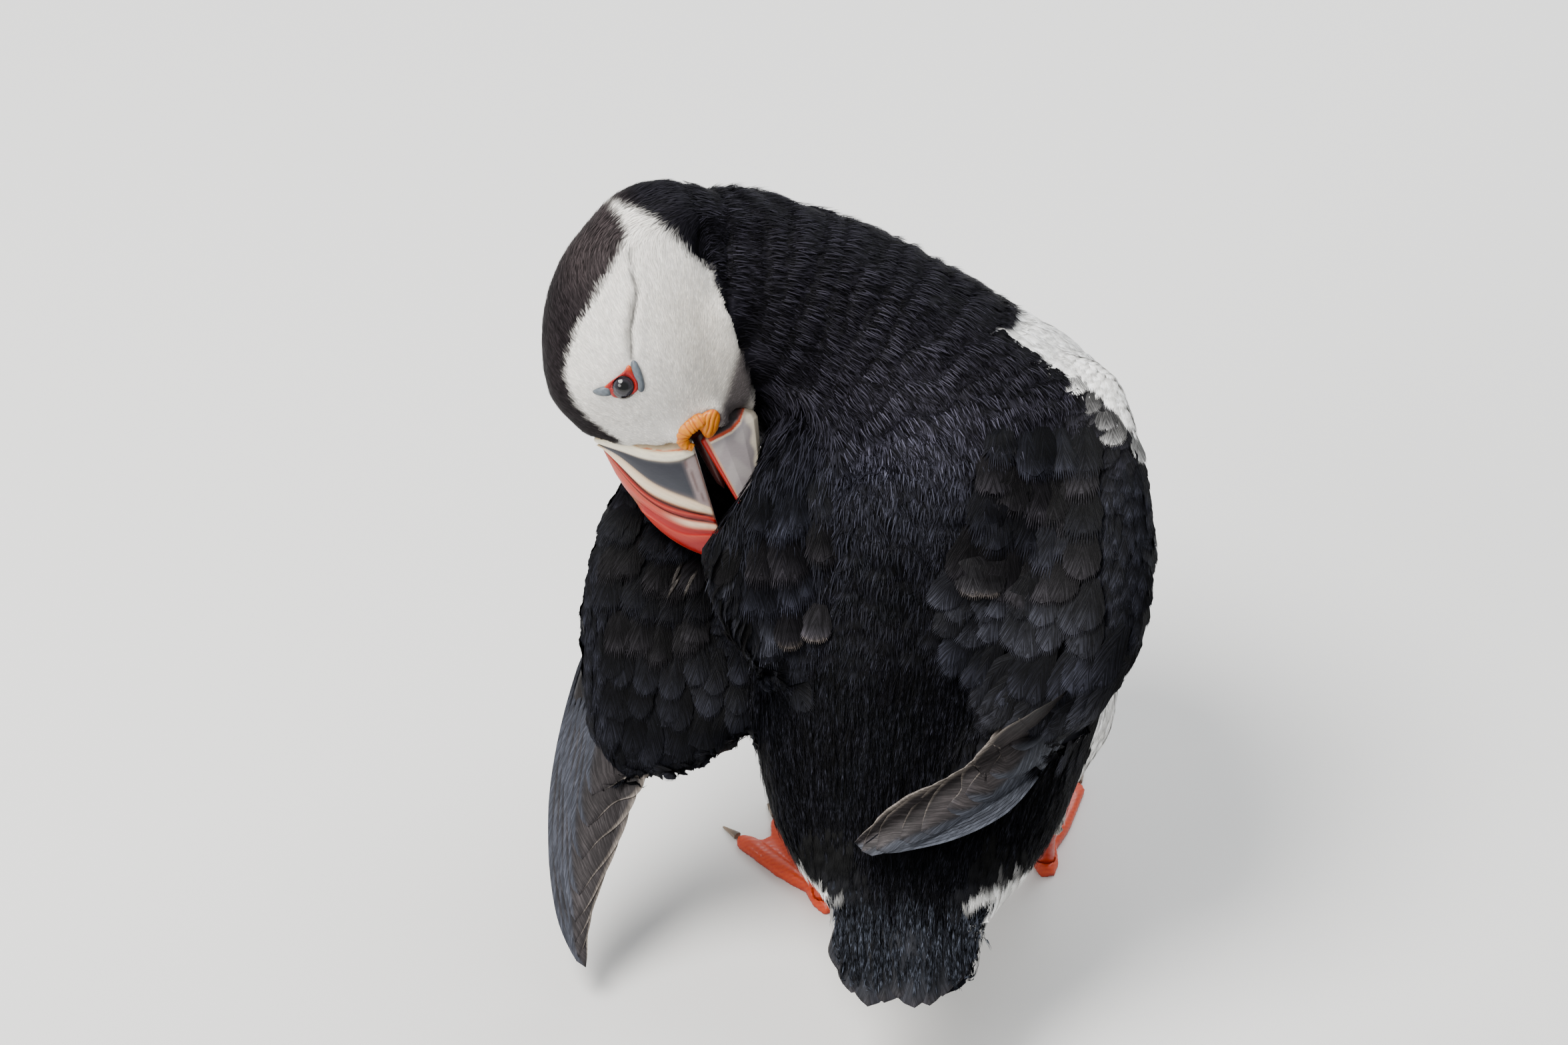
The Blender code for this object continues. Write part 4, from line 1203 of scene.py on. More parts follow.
def grid_mesh(name, grid, tone, closed=False):
    """A mesh over rows and columns of points; closed joins the last column to the first."""
    rows, cols = grid.shape[:2]
    index = np.arange(rows * cols).reshape(rows, cols)
    if closed:
        index = np.concatenate((index, index[:, :1]), 1)
    quads = np.stack((index[:-1, :-1], index[:-1, 1:], index[1:, 1:], index[1:, :-1]), -1).reshape(-1, 4)
    mesh = new_mesh(name, grid.reshape(-1, 3), quads)
    tone = np.clip(np.asarray(tone, float).reshape(-1, 3), 0, 1)
    store(mesh, "tone", np.concatenate((tone, np.ones((len(tone), 1))), 1))
    return mesh


def joined(name, meshes, material=None):
    """One object of several meshes."""
    bm = bmesh.new()
    for mesh in meshes:
        bm.from_mesh(mesh)
        bpy.data.meshes.remove(mesh)
    whole = bpy.data.meshes.new(name)
    bm.to_mesh(whole)
    bm.free()
    whole.shade_smooth()
    return add_object(name, whole, material)


def outward(obj):
    """Merges obj's seams and poles and turns its faces outwards."""
    bm = bmesh.new()
    bm.from_mesh(obj.data)
    bmesh.ops.remove_doubles(bm, verts=bm.verts, dist=0.004 * MM)
    bmesh.ops.recalc_face_normals(bm, faces=bm.faces)
    bm.to_mesh(obj.data)
    bm.free()
    return obj


def curve_through(points, count, closed=False):
    """A smooth curve, evenly cut, through a few points."""
    rows = np.asarray(points, float)
    if closed:
        padded = np.concatenate((rows[-1:], rows, rows[:2]))
    else:
        padded = np.concatenate((2 * rows[:1] - rows[1:2], rows, 2 * rows[-1:] - rows[-2:-1]))
    spans = len(padded) - 3
    t = np.linspace(0, spans, count * 8 + 1)
    low = np.minimum(t.astype(int), spans - 1)
    s = (t - low)[:, None]
    a, b, c, d = (padded[low + k] for k in range(4))
    fine = 0.5 * (2 * b + (c - a) * s + (2 * a - 5 * b + 4 * c - d) * s**2 + (3 * b - a - 3 * c + d) * s**3)
    run = np.concatenate(([0], np.cumsum(np.linalg.norm(np.diff(fine, axis=0), axis=1))))
    want = np.linspace(0, run[-1], count + 1 if closed else count)[: count if closed else None]
    return np.stack([np.interp(want, run, fine[:, k]) for k in range(fine.shape[1])], 1)


def table(value, keys, rows):
    """Rows of numbers read off at value, with soft changes between keys."""
    rows = np.asarray(rows, float)
    if rows.ndim == 1:
        return np.interp(value, keys, rows)
    return np.stack([np.interp(value, keys, rows[:, k]) for k in range(rows.shape[1])], -1)


# ---------------------------------------------------------------- bill

BILL_ROOT, BILL_TIP = 31.4, 78.2
CULMEN_ROOT, CUT_EDGE = 24.3, -3.6
BILL_HALF = 8.2
LOWER_OPEN = math.radians(-14.0)
LOWER_LENGTH, LOWER_DEPTH = 36.0, 18.0
IVORY, PLATE = (0.90, 0.82, 0.62), (0.030, 0.031, 0.040)
BRIGHT_RED, ORANGE = (0.31, 0.001, 0.001), (0.74, 0.14, 0.015)

# Lines across the upper bill from its cutting edge to the culmen, as (up, ahead): the feathers' edge, the
# cere's outer edge, the plate's, the ivory ridge's, the salmon ridge, the second groove and two more ridges.
BAND_LINES = (
    ((-1.6, 41.6), (1.9, 41.2), (6.6, 40.2), (10.6, 38.1), (14.9, 35.0), (19.1, 32.4), (23.7, 31.4)),
    ((-3.2, 43.8), (1.0, 44.8), (6.1, 43.9), (12.1, 41.2), (17.6, 37.3), (22.1, 34.4)),
    ((-1.6, 59.6), (1.2, 57.3), (6.7, 53.2), (12.0, 48.4), (15.7, 42.8), (18.4, 38.6), (20.7, 36.4)),
    ((-2.7, 63.4), (2.3, 60.9), (7.9, 57.1), (13.2, 52.6), (16.3, 48.0), (18.5, 43.3), (20.4, 39.2)),
    ((-2.2, 64.2), (0.5, 62.6), (6.4, 59.8), (11.2, 56.3), (15.2, 51.5), (18.1, 46.6), (20.3, 41.0)),
    ((-1.4, 65.1), (4.9, 62.1), (10.1, 58.5), (14.5, 53.8), (17.5, 49.0), (19.7, 43.6)),
    ((0.1, 67.8), (3.9, 66.4), (7.7, 64.2), (11.6, 60.5), (15.2, 56.1), (18.4, 51.9)),
    ((1.0, 69.0), (6.5, 67.5), (10.3, 65.2), (14.2, 60.4)),
)
# Colours from the feathers' edge (0) over each line (1 to 7) to the tip (8). The near-black steps at 3.02 to 3.20
# and at 4.97 lie in the sunken grooves of BAND_HEIGHTS: painted shade over the grooves' own darker red. The paler
# orange at 3.75 to 3.95, on the raised ridge, is partly the ridge's own colour and partly a painted highlight.
BAND_COLOURS = (
    (-1.0, (0.70, 0.60, 0.42)), (0.00, (0.72, 0.58, 0.38)), (0.12, (0.78, 0.66, 0.44)), (0.30, IVORY), (0.86, (0.90, 0.83, 0.66)),
    (0.96, (0.45, 0.37, 0.28)), (1.01, (0.06, 0.06, 0.065)), (1.10, PLATE), (1.84, (0.045, 0.048, 0.058)),
    (1.95, (0.09, 0.08, 0.085)), (2.03, (0.50, 0.36, 0.24)), (2.18, (0.78, 0.60, 0.41)), (2.58, (0.84, 0.71, 0.52)),
    (2.80, (0.66, 0.44, 0.28)), (2.92, (0.25, 0.08, 0.045)), (3.02, (0.03, 0.006, 0.006)), (3.20, (0.07, 0.008, 0.006)),
    (3.45, (0.20, 0.010, 0.006)), (3.75, (0.40, 0.026, 0.012)), (3.95, (0.46, 0.055, 0.026)), (4.12, (0.36, 0.010, 0.005)),
    (4.40, (0.26, 0.002, 0.001)), (4.72, (0.15, 0.002, 0.001)), (4.97, (0.05, 0.003, 0.003)), (5.09, (0.38, 0.10, 0.06)),
    (5.26, (0.76, 0.50, 0.34)), (5.48, (0.80, 0.58, 0.41)), (5.68, (0.68, 0.27, 0.17)), (5.86, (0.40, 0.012, 0.006)),
    (6.05, BRIGHT_RED), (6.62, (0.36, 0.003, 0.002)), (6.84, (0.46, 0.060, 0.035)), (7.00, (0.44, 0.035, 0.020)),
    (7.20, BRIGHT_RED), (8.00, (0.30, 0.002, 0.001)),
)
BAND_HEIGHTS = (
    (0.0, -0.10), (0.15, 0.35), (0.45, 0.65), (0.80, 0.50), (0.98, 0.02), (1.06, -0.22), (1.5, -0.15), (1.92, -0.20),
    (2.02, 0.05), (2.20, 0.50), (2.50, 0.80), (2.78, 0.55), (2.96, -0.25), (3.10, -0.55), (3.35, -0.25),
    (3.80, 0.22), (4.10, 0.10), (4.60, -0.18), (4.98, -0.60), (5.10, -0.20), (5.40, 0.35), (5.70, 0.28),
    (6.10, -0.12), (6.50, -0.15), (6.90, 0.22), (7.20, 0.02), (8.0, 0.0),
)


def culmen(ahead):
    share = np.clip((ahead - BILL_ROOT) / (BILL_TIP - BILL_ROOT), 0, 1)
    return CUT_EDGE + 0.9 + (CULMEN_ROOT - CUT_EDGE - 0.9) * (1 - 0.45 * share - 0.55 * share**5)


def bill_band(ahead, up):
    """Where a place lies among the bands: each line's number where it is crossed, -1 and 8 at the ends."""
    lines = []
    for line in BAND_LINES:
        ups, aheads = np.array(line).T
        place = np.interp(up, ups, aheads)
        place += np.minimum(up - ups[0], 0) * (aheads[1] - aheads[0]) / (ups[1] - ups[0])
        place += np.maximum(up - ups[-1], 0) * (aheads[-1] - aheads[-2]) / (ups[-1] - ups[-2])
        lines.append(np.maximum(place, lines[-1] + 0.12) if lines else place)
    lines = [lines[0] - 5.0, *lines, np.maximum(lines[-1] + 2.0, BILL_TIP - 0.6)]
    return sum(np.clip((ahead - a) / (b - a), 0, 1) for a, b in zip(lines, lines[1:])) - 1


def closed_section(half_wide, up_share, low, top, roof, count):
    """Left and height of points round a bill's section: up one side, down the other and back under."""
    left = np.concatenate((half_wide, -half_wide[::-1][1:]))
    up = np.concatenate((up_share, up_share[::-1][1:]))
    under = np.linspace(-1, 1, count + 2)[1:-1]
    left = np.concatenate((left, under * half_wide[0]))
    up = low + (top - low) * up
    return left, np.concatenate((up, low + roof * (1 - under**2)))


def make_bill_upper(finish):
    """A closed skin whose rows follow the bands, so that every groove and ridge has points of its own."""
    cols, roof_cols = 44, 7
    bands = np.concatenate([np.linspace(k, k + 1, n, endpoint=False) for k, n in
                            zip(range(-1, 8), (8, 26, 22, 34, 34, 34, 30, 26, 40))] + [[7.985]])
    up_share = np.sin(np.linspace(0, math.pi / 2, cols)) ** 1.1
    wide = (1 - up_share**2.2) ** 0.6
    wide[0] = 0.93
    fine = np.linspace(BILL_ROOT - 8, BILL_TIP, 900)
    ahead = []
    for share in up_share:
        top = culmen(fine)
        low = CUT_EDGE + 0.4 - 1.3 * smoothstep(0.8, 1.0, (fine - BILL_ROOT + 4) / (BILL_TIP - BILL_ROOT + 4))
        found = np.maximum.accumulate(bill_band(fine, low + (top - low) * share))
        ahead.append(np.interp(bands, found + np.arange(900) * 1e-7, fine))
    ahead = neighbour_rows(np.array(ahead).T)
    grid, tone = [], []
    for band_row, row in zip(bands, ahead):
        a = np.concatenate((row, row[::-1][1:], np.full(roof_cols, row[0])))
        share = np.clip((a - BILL_ROOT + 4) / (BILL_TIP - BILL_ROOT + 4), 0, 1)
        half = BILL_HALF * (1 - share**1.6) ** 0.8 + 0.75
        low = CUT_EDGE + 0.4 - 1.3 * smoothstep(0.8, 1.0, share)
        left, _ = closed_section(wide, up_share, 0, 1, 0, roof_cols)
        part = np.concatenate((up_share, up_share[::-1][1:], np.zeros(roof_cols)))
        up = low + (culmen(a) - low) * part
        outer = len(part) - roof_cols
        up[outer:] += 2.6 * (1 - share[outer:]) * (1 - np.linspace(-1, 1, roof_cols + 2)[1:-1] ** 2)
        band = np.full(len(a), band_row)
        sunk = 1.6 * smoothstep(0.05, -0.6, band)
        rise = table(band, *zip(*BAND_HEIGHTS)) * smoothstep(-3.4, 0.5, up) * (1 - 0.4 * share)
        rise[outer:] = 0
        rise = rise - sunk
        crest = part**5
        grid.append(on_head(a, up + rise * crest, (half * left) + rise * np.sign(left) * (1 - crest)))
        colour = table(band, *zip(*BAND_COLOURS))
        colour[outer:] = (0.20, 0.03, 0.02)
        tone.append(bill_marks(colour, a, up, band, part, outer))
    mesh = grid_mesh("bill_upper_fine", np.array(grid), np.array(tone), closed=True)
    return outward(add_object("bill_upper_fine", mesh, finish))


def neighbour_rows(grid, rounds=6):
    """Eases each row of a grid along its columns."""
    for _ in range(rounds):
        grid[:, 1:-1] = (grid[:, :-2] + 2 * grid[:, 1:-1] + grid[:, 2:]) / 4
    return grid


def bill_marks(colour, ahead, up, band, share, outer):
    """The cere's orange dots, the strip along the cutting edge, and the pale, worn culmen."""
    spot = np.sin(ahead * 9.1 + np.sin(up * 3.0) * 2) * np.sin(up * 8.3 + ahead * 2.1)
    dots = smoothstep(0.25, 0.75, spot) * smoothstep(0.22, 0.08, band) * (ahead < 46)
    dots = dots * smoothstep(-0.10, -0.02, band)
    dots = np.maximum(dots, smoothstep(0.08, 0.04, band) * smoothstep(-0.08, -0.02, band) * smoothstep(8, 3, up))
    colour = mixed(colour, mixed((0.30, 0.17, 0.08), ORANGE, smoothstep(16, 9, up)), 0.85 * dots)
    strip = smoothstep(1.6, 0.6, up + 0.05 * (ahead - 44)) * (band > 1.03) * (band < 2.05)
    colour = mixed(colour, (0.30, 0.235, 0.23), 0.85 * strip)
    gap, place = line_distance(np.stack((ahead, up), 1), ((45.2, 0.5), (50.0, -0.5), (54.6, -0.9), (58.9, -1.9)))
    colour = mixed(colour, (0.12, 0.075, 0.070), 0.8 * smoothstep(0.42, 0.12, gap) * (band > 1.03))
    colour = mixed(colour, (0.55, 0.33, 0.24), 0.6 * smoothstep(-2.6, -3.1, up) * (band > 1.0) * (band < 4))
    fading = smoothstep(0.45, 0.80, share) * (smoothstep(5.0, 5.2, band) - smoothstep(5.7, 5.9, band))
    fading = fading + 0.7 * smoothstep(0.55, 0.9, share) * (smoothstep(6.6, 6.9, band) - smoothstep(7.0, 7.2, band))
    colour = mixed(colour, (0.40, 0.012, 0.006), 0.9 * fading)
    ridge = smoothstep(0.955, 0.99, share) * smoothstep(3.2, 4.2, band)
    colour = mixed(colour, (0.50, 0.08, 0.05), 0.35 * ridge)
    worn = np.exp(-(((ahead - 52.5) / 2.2) ** 2) - ((share - 1.0) / 0.06) ** 2)
    colour = mixed(colour, (0.24, 0.15, 0.08), 0.7 * worn)
    streak = 1 + 0.06 * np.sin(ahead * 3.1 + up * 7.0) * np.sin(ahead * 1.3 - up * 2.6)
    return colour * streak[:, None]


LOWER_BASE = ((-23.5, 31.5), (-21.3, 34.0), (-18.5, 37.7), (-15.3, 39.5), (-10.6, 40.3), (-6.8, 40.9), (-4.5, 41.2))


def make_bill_lower(finish):
    rows, cols, roof_cols = 150, 56, 7
    down_share = np.linspace(0, 1, cols) ** 0.9
    wide = np.interp(down_share, (0, 0.05, 0.35, 0.7, 0.92, 1), (0.88, 1.0, 0.95, 0.70, 0.42, 0.10))
    grid, tone = [], []
    for share in np.linspace(0, 0.985, rows):
        ahead = -4 + (LOWER_LENGTH + 4) * share
        half = (BILL_HALF - 1.2) * (1 - share**1.8) ** 0.8 + 0.7
        start = 1 - max(0.0, 0.22 - share) * 0.9
        deep = LOWER_DEPTH * start * (1 - max(0.0, share - 0.18) / 0.82) ** 0.85 + 0.9
        left, up = closed_section(half * wide, -down_share, 0, deep, -1.8 * (1 - share), roof_cols)
        a = ahead * math.cos(LOWER_OPEN) - up * math.sin(LOWER_OPEN) + 39.0
        b = ahead * math.sin(LOWER_OPEN) + up * math.cos(LOWER_OPEN) + CUT_EDGE - 1.6
        outer = len(left) - roof_cols
        tone.append(lower_tone(a, b, np.clip(-up / deep, 0, 1), outer))
        behind = 0.45 * smoothstep(0.0, -1.5, a - np.interp(b, *zip(*LOWER_BASE)))
        grid.append(on_head(mixed_number(a, 37.0, behind), mixed_number(b, -9.0, behind), left * (1 - behind)))
    mesh = grid_mesh("bill_lower_fine", np.array(grid), np.array(tone), closed=True)
    return outward(add_object("bill_lower_fine", mesh, finish))


def lower_tone(ahead, up, down, outer):
    """A lilac-grey plate with an orange line at the feathers and a pale lower edge."""
    base = np.interp(up, *zip(*LOWER_BASE))
    past = ahead - base
    worn = smoothstep(0.4, -0.8, np.sin(ahead * 0.5 + np.sin(up * 0.8)) + up * 0.08 + 0.8)
    plate = mixed((0.42, 0.38, 0.375), (0.35, 0.31, 0.315), worn)
    plate = mixed(plate, (0.34, 0.31, 0.32), 0.8 * smoothstep(4.2, 2.6, past))
    colour = mixed(plate, (0.86, 0.76, 0.60), smoothstep(0.78, 0.88, down + 0.03 * np.sin(ahead)))
    colour = mixed(colour, (0.84, 0.72, 0.56), smoothstep(2.0, 1.5, past))
    colour = mixed(colour, (0.60, 0.060, 0.008), smoothstep(1.25, 0.95, past))
    colour = mixed(colour, SMUDGE_GREY, smoothstep(0.25, -0.15, past))
    colour = mixed(colour, (0.60, 0.36, 0.24), smoothstep(0.135, 0.11, down))
    colour = mixed(colour, (0.36, 0.010, 0.006), smoothstep(0.10, 0.08, down))
    colour[outer:] = (0.34, 0.012, 0.008)
    return colour


def make_gape(finish):
    """The lining inside the corner of the mouth, near-black as painted shade in the mouth's hollow."""
    grid = []
    for share in np.linspace(0, 1, 14):
        round_it = np.linspace(0, math.tau, 20, endpoint=False)
        fat = math.sqrt(max(1e-4, 1 - (2 * share - 1) ** 6))
        ahead = 29 + 28 * share
        tall = (3.3 + 1.8 * (1 - share) ** 2) * (1 - 0.55 * share)
        grid.append(on_head(ahead, -4.9 - 3.3 * share + tall * fat * np.sin(round_it),
                            8.0 * fat * np.cos(round_it) * (1 - 0.50 * share)))
    # Near-black: painted shade inside the mouth.
    tone = np.tile((0.035, 0.006, 0.005), (14 * 20, 1))
    return outward(add_object("gape_lining", grid_mesh("gape_lining", np.array(grid), tone, closed=True), finish))


# ---------------------------------------------------------------- face: surface, rosettes and eyes

EYE_MIDDLE = np.array((17.4, 11.2))
EYE_OUT, EYE_RADIUS = 17.85, 4.0
IRIS_RADIUS, PUPIL_RADIUS, LID_RADIUS = 3.05, 1.45, 3.1
# Outlines on the face, as (ahead, up).
LID_OUTLINE = (
    (11.6, 8.1), (12.9, 9.6), (14.0, 11.9), (14.9, 14.4), (15.9, 16.6), (16.2, 18.6), (16.8, 16.0), (18.4, 15.6),
    (19.8, 14.9), (20.7, 12.8), (20.7, 10.3), (20.0, 8.0), (18.6, 6.9), (16.4, 6.7), (14.3, 7.1), (12.6, 7.3),
)
LOWER_PLATE = (
    (10.6, 6.4), (11.1, 5.6), (12.3, 5.2), (15.0, 4.9), (18.0, 5.0), (20.0, 5.6), (20.6, 6.7), (19.6, 7.4),
    (18.0, 7.0), (15.3, 7.5), (12.8, 7.5), (11.3, 7.1),
)
UPPER_PLATE = ((16.3, 20.3), (15.8, 18.0), (16.0, 16.2), (16.8, 15.0), (18.4, 15.1), (19.0, 16.0), (18.5, 18.2), (17.4, 19.9))


class Cheek:
    """A smooth surface fitted to the coat of one side of the face round a place."""

    def __init__(self, skin, side, middle, near, far):
        head = head_of(skin.co + skin.normal * 0.9 * MM)
        gap = np.hypot(head[:, 0] - middle[0], head[:, 1] - middle[1])
        rows = (gap > near) & (gap < far) & (head[:, 2] * side > 4) & (skin.part == FLESH.index("head"))
        self.side, self.middle = side, middle
        self.terms = np.linalg.lstsq(self.basis(head[rows, 0], head[rows, 1]), head[rows, 2] * side, rcond=None)[0]

    def basis(self, ahead, up):
        a, b = np.asarray(ahead) - self.middle[0], np.asarray(up) - self.middle[1]
        return np.stack((np.ones_like(a), a, b, a * a, a * b, b * b), -1)

    def left(self, ahead, up):
        return self.basis(ahead, up) @ self.terms


def cushion(name, cheek, outline, height, tone, sink=0.45, rounds=7, count=44, crease=0.0):
    """A small raised plate over an outline on the cheek."""
    edge = curve_through(outline, count, closed=True)
    middle = edge.mean(0)
    shares = np.linspace(0, 1, rounds)
    flat = middle + (edge - middle)[None] * shares[:, None, None]
    rise = (height + sink) * (1 - shares**3.0) ** 0.8 - sink
    ahead, up = flat[..., 0], flat[..., 1]
    rise = rise[:, None] + crease * np.sin(ahead * 2.4) * np.sin(up * 3.1) * (1 - shares[:, None])
    left = cheek.left(ahead, up) + rise
    mark = 1 + 0.18 * np.sin(ahead * 2.9 + up) * np.sin(up * 3.7) - 0.35 * shares[:, None] ** 4
    tone = np.asarray(tone) * mark[..., None]
    return grid_mesh(name, on_head(ahead, up, left * cheek.side), tone, closed=True)


def make_lids(name, cheek, finish):
    """The red ring round the eye, rolled at its inner edge, with the two horny plates."""
    count, rounds = 96, 12
    turn = np.linspace(0, math.tau, count, endpoint=False)
    way = np.stack((np.cos(turn), np.sin(turn)), 1)
    edge = curve_through(LID_OUTLINE, 300, closed=True) - EYE_MIDDLE
    angle = np.arctan2(edge[:, 1], edge[:, 0])
    order = np.argsort(angle)
    reach = np.interp(turn, angle[order], np.linalg.norm(edge[order], axis=1), period=math.tau)
    shares = np.linspace(0, 1, rounds)[:, None]
    radius = LID_RADIUS + (reach[None] - LID_RADIUS) * shares
    flat = EYE_MIDDLE + way[None] * radius[..., None]
    ball = EYE_OUT + np.sqrt(np.maximum(EYE_RADIUS**2 - radius**2, 0))
    cheek_left = cheek.left(flat[..., 0], flat[..., 1])
    blend = smoothstep(0.0, 0.45, shares)
    base = np.maximum(ball, cheek_left - 0.4) * (1 - blend) + cheek_left * blend
    rise = 0.30 * np.sin(np.pi * np.clip(shares * 1.15, 0, 1)) ** 0.8 - 0.55 * smoothstep(0.86, 1.0, shares)
    rise = rise - 0.25 * smoothstep(0.12, 0.0, shares)
    left = base + rise + 0.05 * np.sin(turn * 17)[None] * np.sin(np.pi * shares)
    red = mixed(BRIGHT_RED, (0.66, 0.11, 0.01), 0.8 * smoothstep(4.2, 7.0, radius))
    red = mixed(red, (0.10, 0.012, 0.010), 0.75 * smoothstep(0.16, 0.0, shares) + 0 * radius)
    red = mixed(red, (0.66, 0.14, 0.02), 0.3 * smoothstep(0.12, 0.0, np.abs(shares - 0.9)) + 0 * radius)
    ring = grid_mesh(name, on_head(flat[..., 0], flat[..., 1], left * cheek.side), red, closed=True)
    grey = (0.125, 0.150, 0.175)
    plates = [
        cushion(name + "_lower", cheek, LOWER_PLATE, 0.75, grey, crease=0.06),
        cushion(name + "_upper", cheek, UPPER_PLATE, 0.70, grey, crease=0.06),
    ]
    return outward(joined(name, [ring, *plates], finish))


def make_eyeball(name, side, finish):
    """A ball with its iris turned to face out of the lids."""
    rows, cols = 40, 64
    polar = np.linspace(0, math.pi, rows)[:, None]
    turn = np.linspace(0, math.tau, cols, endpoint=False)[None]
    reach = EYE_RADIUS * np.sin(polar)
    bulge = 0.15 * smoothstep(IRIS_RADIUS, 0.0, reach) * (polar < 1)
    ahead = EYE_MIDDLE[0] + reach * np.cos(turn)
    up = EYE_MIDDLE[1] + reach * np.sin(turn)
    left = (EYE_OUT + (EYE_RADIUS + bulge) * np.cos(polar) + 0 * turn) * side
    fibre = 0.5 + 0.5 * np.sin(turn * 37) * np.sin(reach * 6 + turn * 5)
    keys = (0, PUPIL_RADIUS - 0.12, PUPIL_RADIUS + 0.05, 1.9, 2.35, 2.75, 2.95, 3.1, 9)
    tones = ((0.002,) * 3, (0.002,) * 3, (0.014, 0.012, 0.016), (0.023, 0.020, 0.025), (0.019, 0.018, 0.023),
             (0.062, 0.061, 0.076), (0.02, 0.02, 0.024), (0.012, 0.010, 0.010), (0.010, 0.008, 0.008))
    tone = table(reach + 0 * turn, keys, tones)
    tone = tone * (0.75 + 0.5 * fibre * smoothstep(PUPIL_RADIUS, 2.2, reach))[..., None]
    tone = np.where((polar < 1.4)[..., None], tone, 0.01)
    mesh = grid_mesh(name, on_head(ahead, up, left), tone, closed=True)
    return outward(add_object(name, mesh, finish))


ROSETTE_ARCH = ((41.8, -3.1), (40.2, -1.2), (38.0, -0.8), (36.2, -2.0), (35.1, -4.3), (34.3, -6.9), (33.6, -9.0))
ROSETTE_LOBE = (
    (33.0, -7.6), (32.0, -10.2), (32.3, -12.4), (34.2, -13.4), (36.6, -13.0), (38.9, -11.2), (40.4, -9.0), (39.8, -7.4),
    (37.6, -6.6), (35.4, -6.2),
)


def make_rosette(name, cheek, finish):
    """The yellow skin at the corner of the mouth: a pleated arch and, under it, a lobe with long folds."""
    count, ring = 150, 18
    line = curve_through(ROSETTE_ARCH, count)
    way = unit(np.gradient(line, axis=0))
    share = np.linspace(0, 1, count)
    uneven = share + 0.022 * np.sin(share * 19) + 0.013 * np.sin(share * 43 + 1)
    pleat = np.abs(np.sin(uneven * math.pi * 9)) ** 0.5
    fat = (1.15 + 1.15 * smoothstep(0.0, 0.40, share)) * (0.88 + 0.14 * pleat) * np.minimum(1, (1.02 - share) * 9) ** 0.5
    turn = np.linspace(0, math.tau, ring, endpoint=False)
    across = np.stack((-way[:, 1], way[:, 0]), 1)
    flat = line[:, None] + across[:, None] * (fat[:, None] * np.cos(turn))[..., None]
    left = rosette_left(cheek, line)[:, None] + (fat * 0.70)[:, None] * np.sin(turn)
    ripple = 0.13 * np.sin(share * 61)[:, None] * np.sin(turn * 3 + share[:, None] * 9)
    left = left + ripple * np.maximum(np.sin(turn), 0)
    # Painted shade: deeper orange in the creases between the pleats and on the side of the arch turned in to the cheek.
    crease = (1 - pleat)[:, None] + 0.55 * smoothstep(0.2, -0.7, np.sin(turn))[None]
    tone = mixed((0.72, 0.235, 0.0), (0.46, 0.060, 0.0), np.clip(crease, 0, 1))
    arch = grid_mesh(name, on_head(flat[..., 0], flat[..., 1], left * cheek.side), tone, closed=True)
    edge = curve_through(ROSETTE_LOBE, 72, closed=True)
    middle = edge.mean(0)
    shares = np.linspace(0, 1, 18)[:, None]
    spot = middle + (edge - middle)[None] * shares[..., None]
    long_way = unit(np.array((8.0, 4.8)))
    sideways = (spot - middle) @ np.array((-long_way[1], long_way[0]))
    folds = np.abs(np.sin(sideways * 2.15 + 0.25 * np.sin((spot - middle) @ long_way * 1.1))) ** 0.6
    height = 2.1 * (1 - shares**2.6) ** 0.6 - 0.7 + 0.42 * (folds - 0.6) * (1 - shares**5)
    left = rosette_left(cheek, spot.reshape(-1, 2)).reshape(height.shape) + height
    # Painted shade: deeper orange in the valleys between the folds and at the rim, where the lobe dips under the cheek.
    tone = mixed((0.74, 0.25, 0.0), (0.48, 0.065, 0.0), np.clip((1 - folds) * 0.9 + 0.4 * shares**6, 0, 1))
    lobe = grid_mesh(name + "_lobe", on_head(spot[..., 0], spot[..., 1], left * cheek.side), tone, closed=True)
    return outward(joined(name, [arch, lobe], finish))


def rosette_left(cheek, flat):
    """How far out the corner of the mouth lies: on the cheek behind, on the bill in front."""
    return np.interp(flat[:, 0], (31, 33, 36, 39, 42), (14.0, 13.2, 11.6, 10.0, 8.6))


def glossy_finish(name, roughness, coat, grain):
    """Horn, wet skin or the eye: its own tone with fine scratches under a thin gloss."""
    finish = Finish(name)
    scratch = finish.noise(700.0, detail=4.0, stretch=(1.0, 1.0, 3.0))
    shade = scratch * (2 * grain) + (1 - grain)
    grey = finish.node("ShaderNodeCombineColor", None, {0: shade, 1: shade, 2: shade})
    return finish.close(
        Base_Color=finish.mix(1.0, finish.attribute("tone", "Color"), grey, "MULTIPLY"),
        Roughness=finish.noise(250.0) * 0.16 + (roughness - 0.08),
        Coat_Weight=coat,
        Coat_Roughness=0.08,
        Specular_IOR_Level=0.5 - 0.4 * coat,
        Normal=finish.bump(scratch, 0.35, 0.00012),
    )


MOUTH_CORNER = ((36.6, -2.0), (44, -2.4), (44, -8.0), (38, -7.4), (35.6, -6.2), (35.2, -4.0))


def near_rosette(head):
    """1 on the skin under the rosettes and the lining of the mouth."""
    gap, _ = line_distance(head[:, :2], ROSETTE_ARCH)
    lobe = np.maximum(*(signed_distance(head[:, :2], line) for line in (ROSETTE_LOBE, MOUTH_CORNER)))
    return np.maximum(smoothstep(1.5, 0.9, gap), smoothstep(-0.3, 0.3, lobe)) * (np.abs(head[:, 2]) > 1)


def in_parts(skin, *names):
    ids = [FLESH.index(name) for name in names]
    return np.isin(skin.part, ids).astype(float)[skin.tri].max(1)


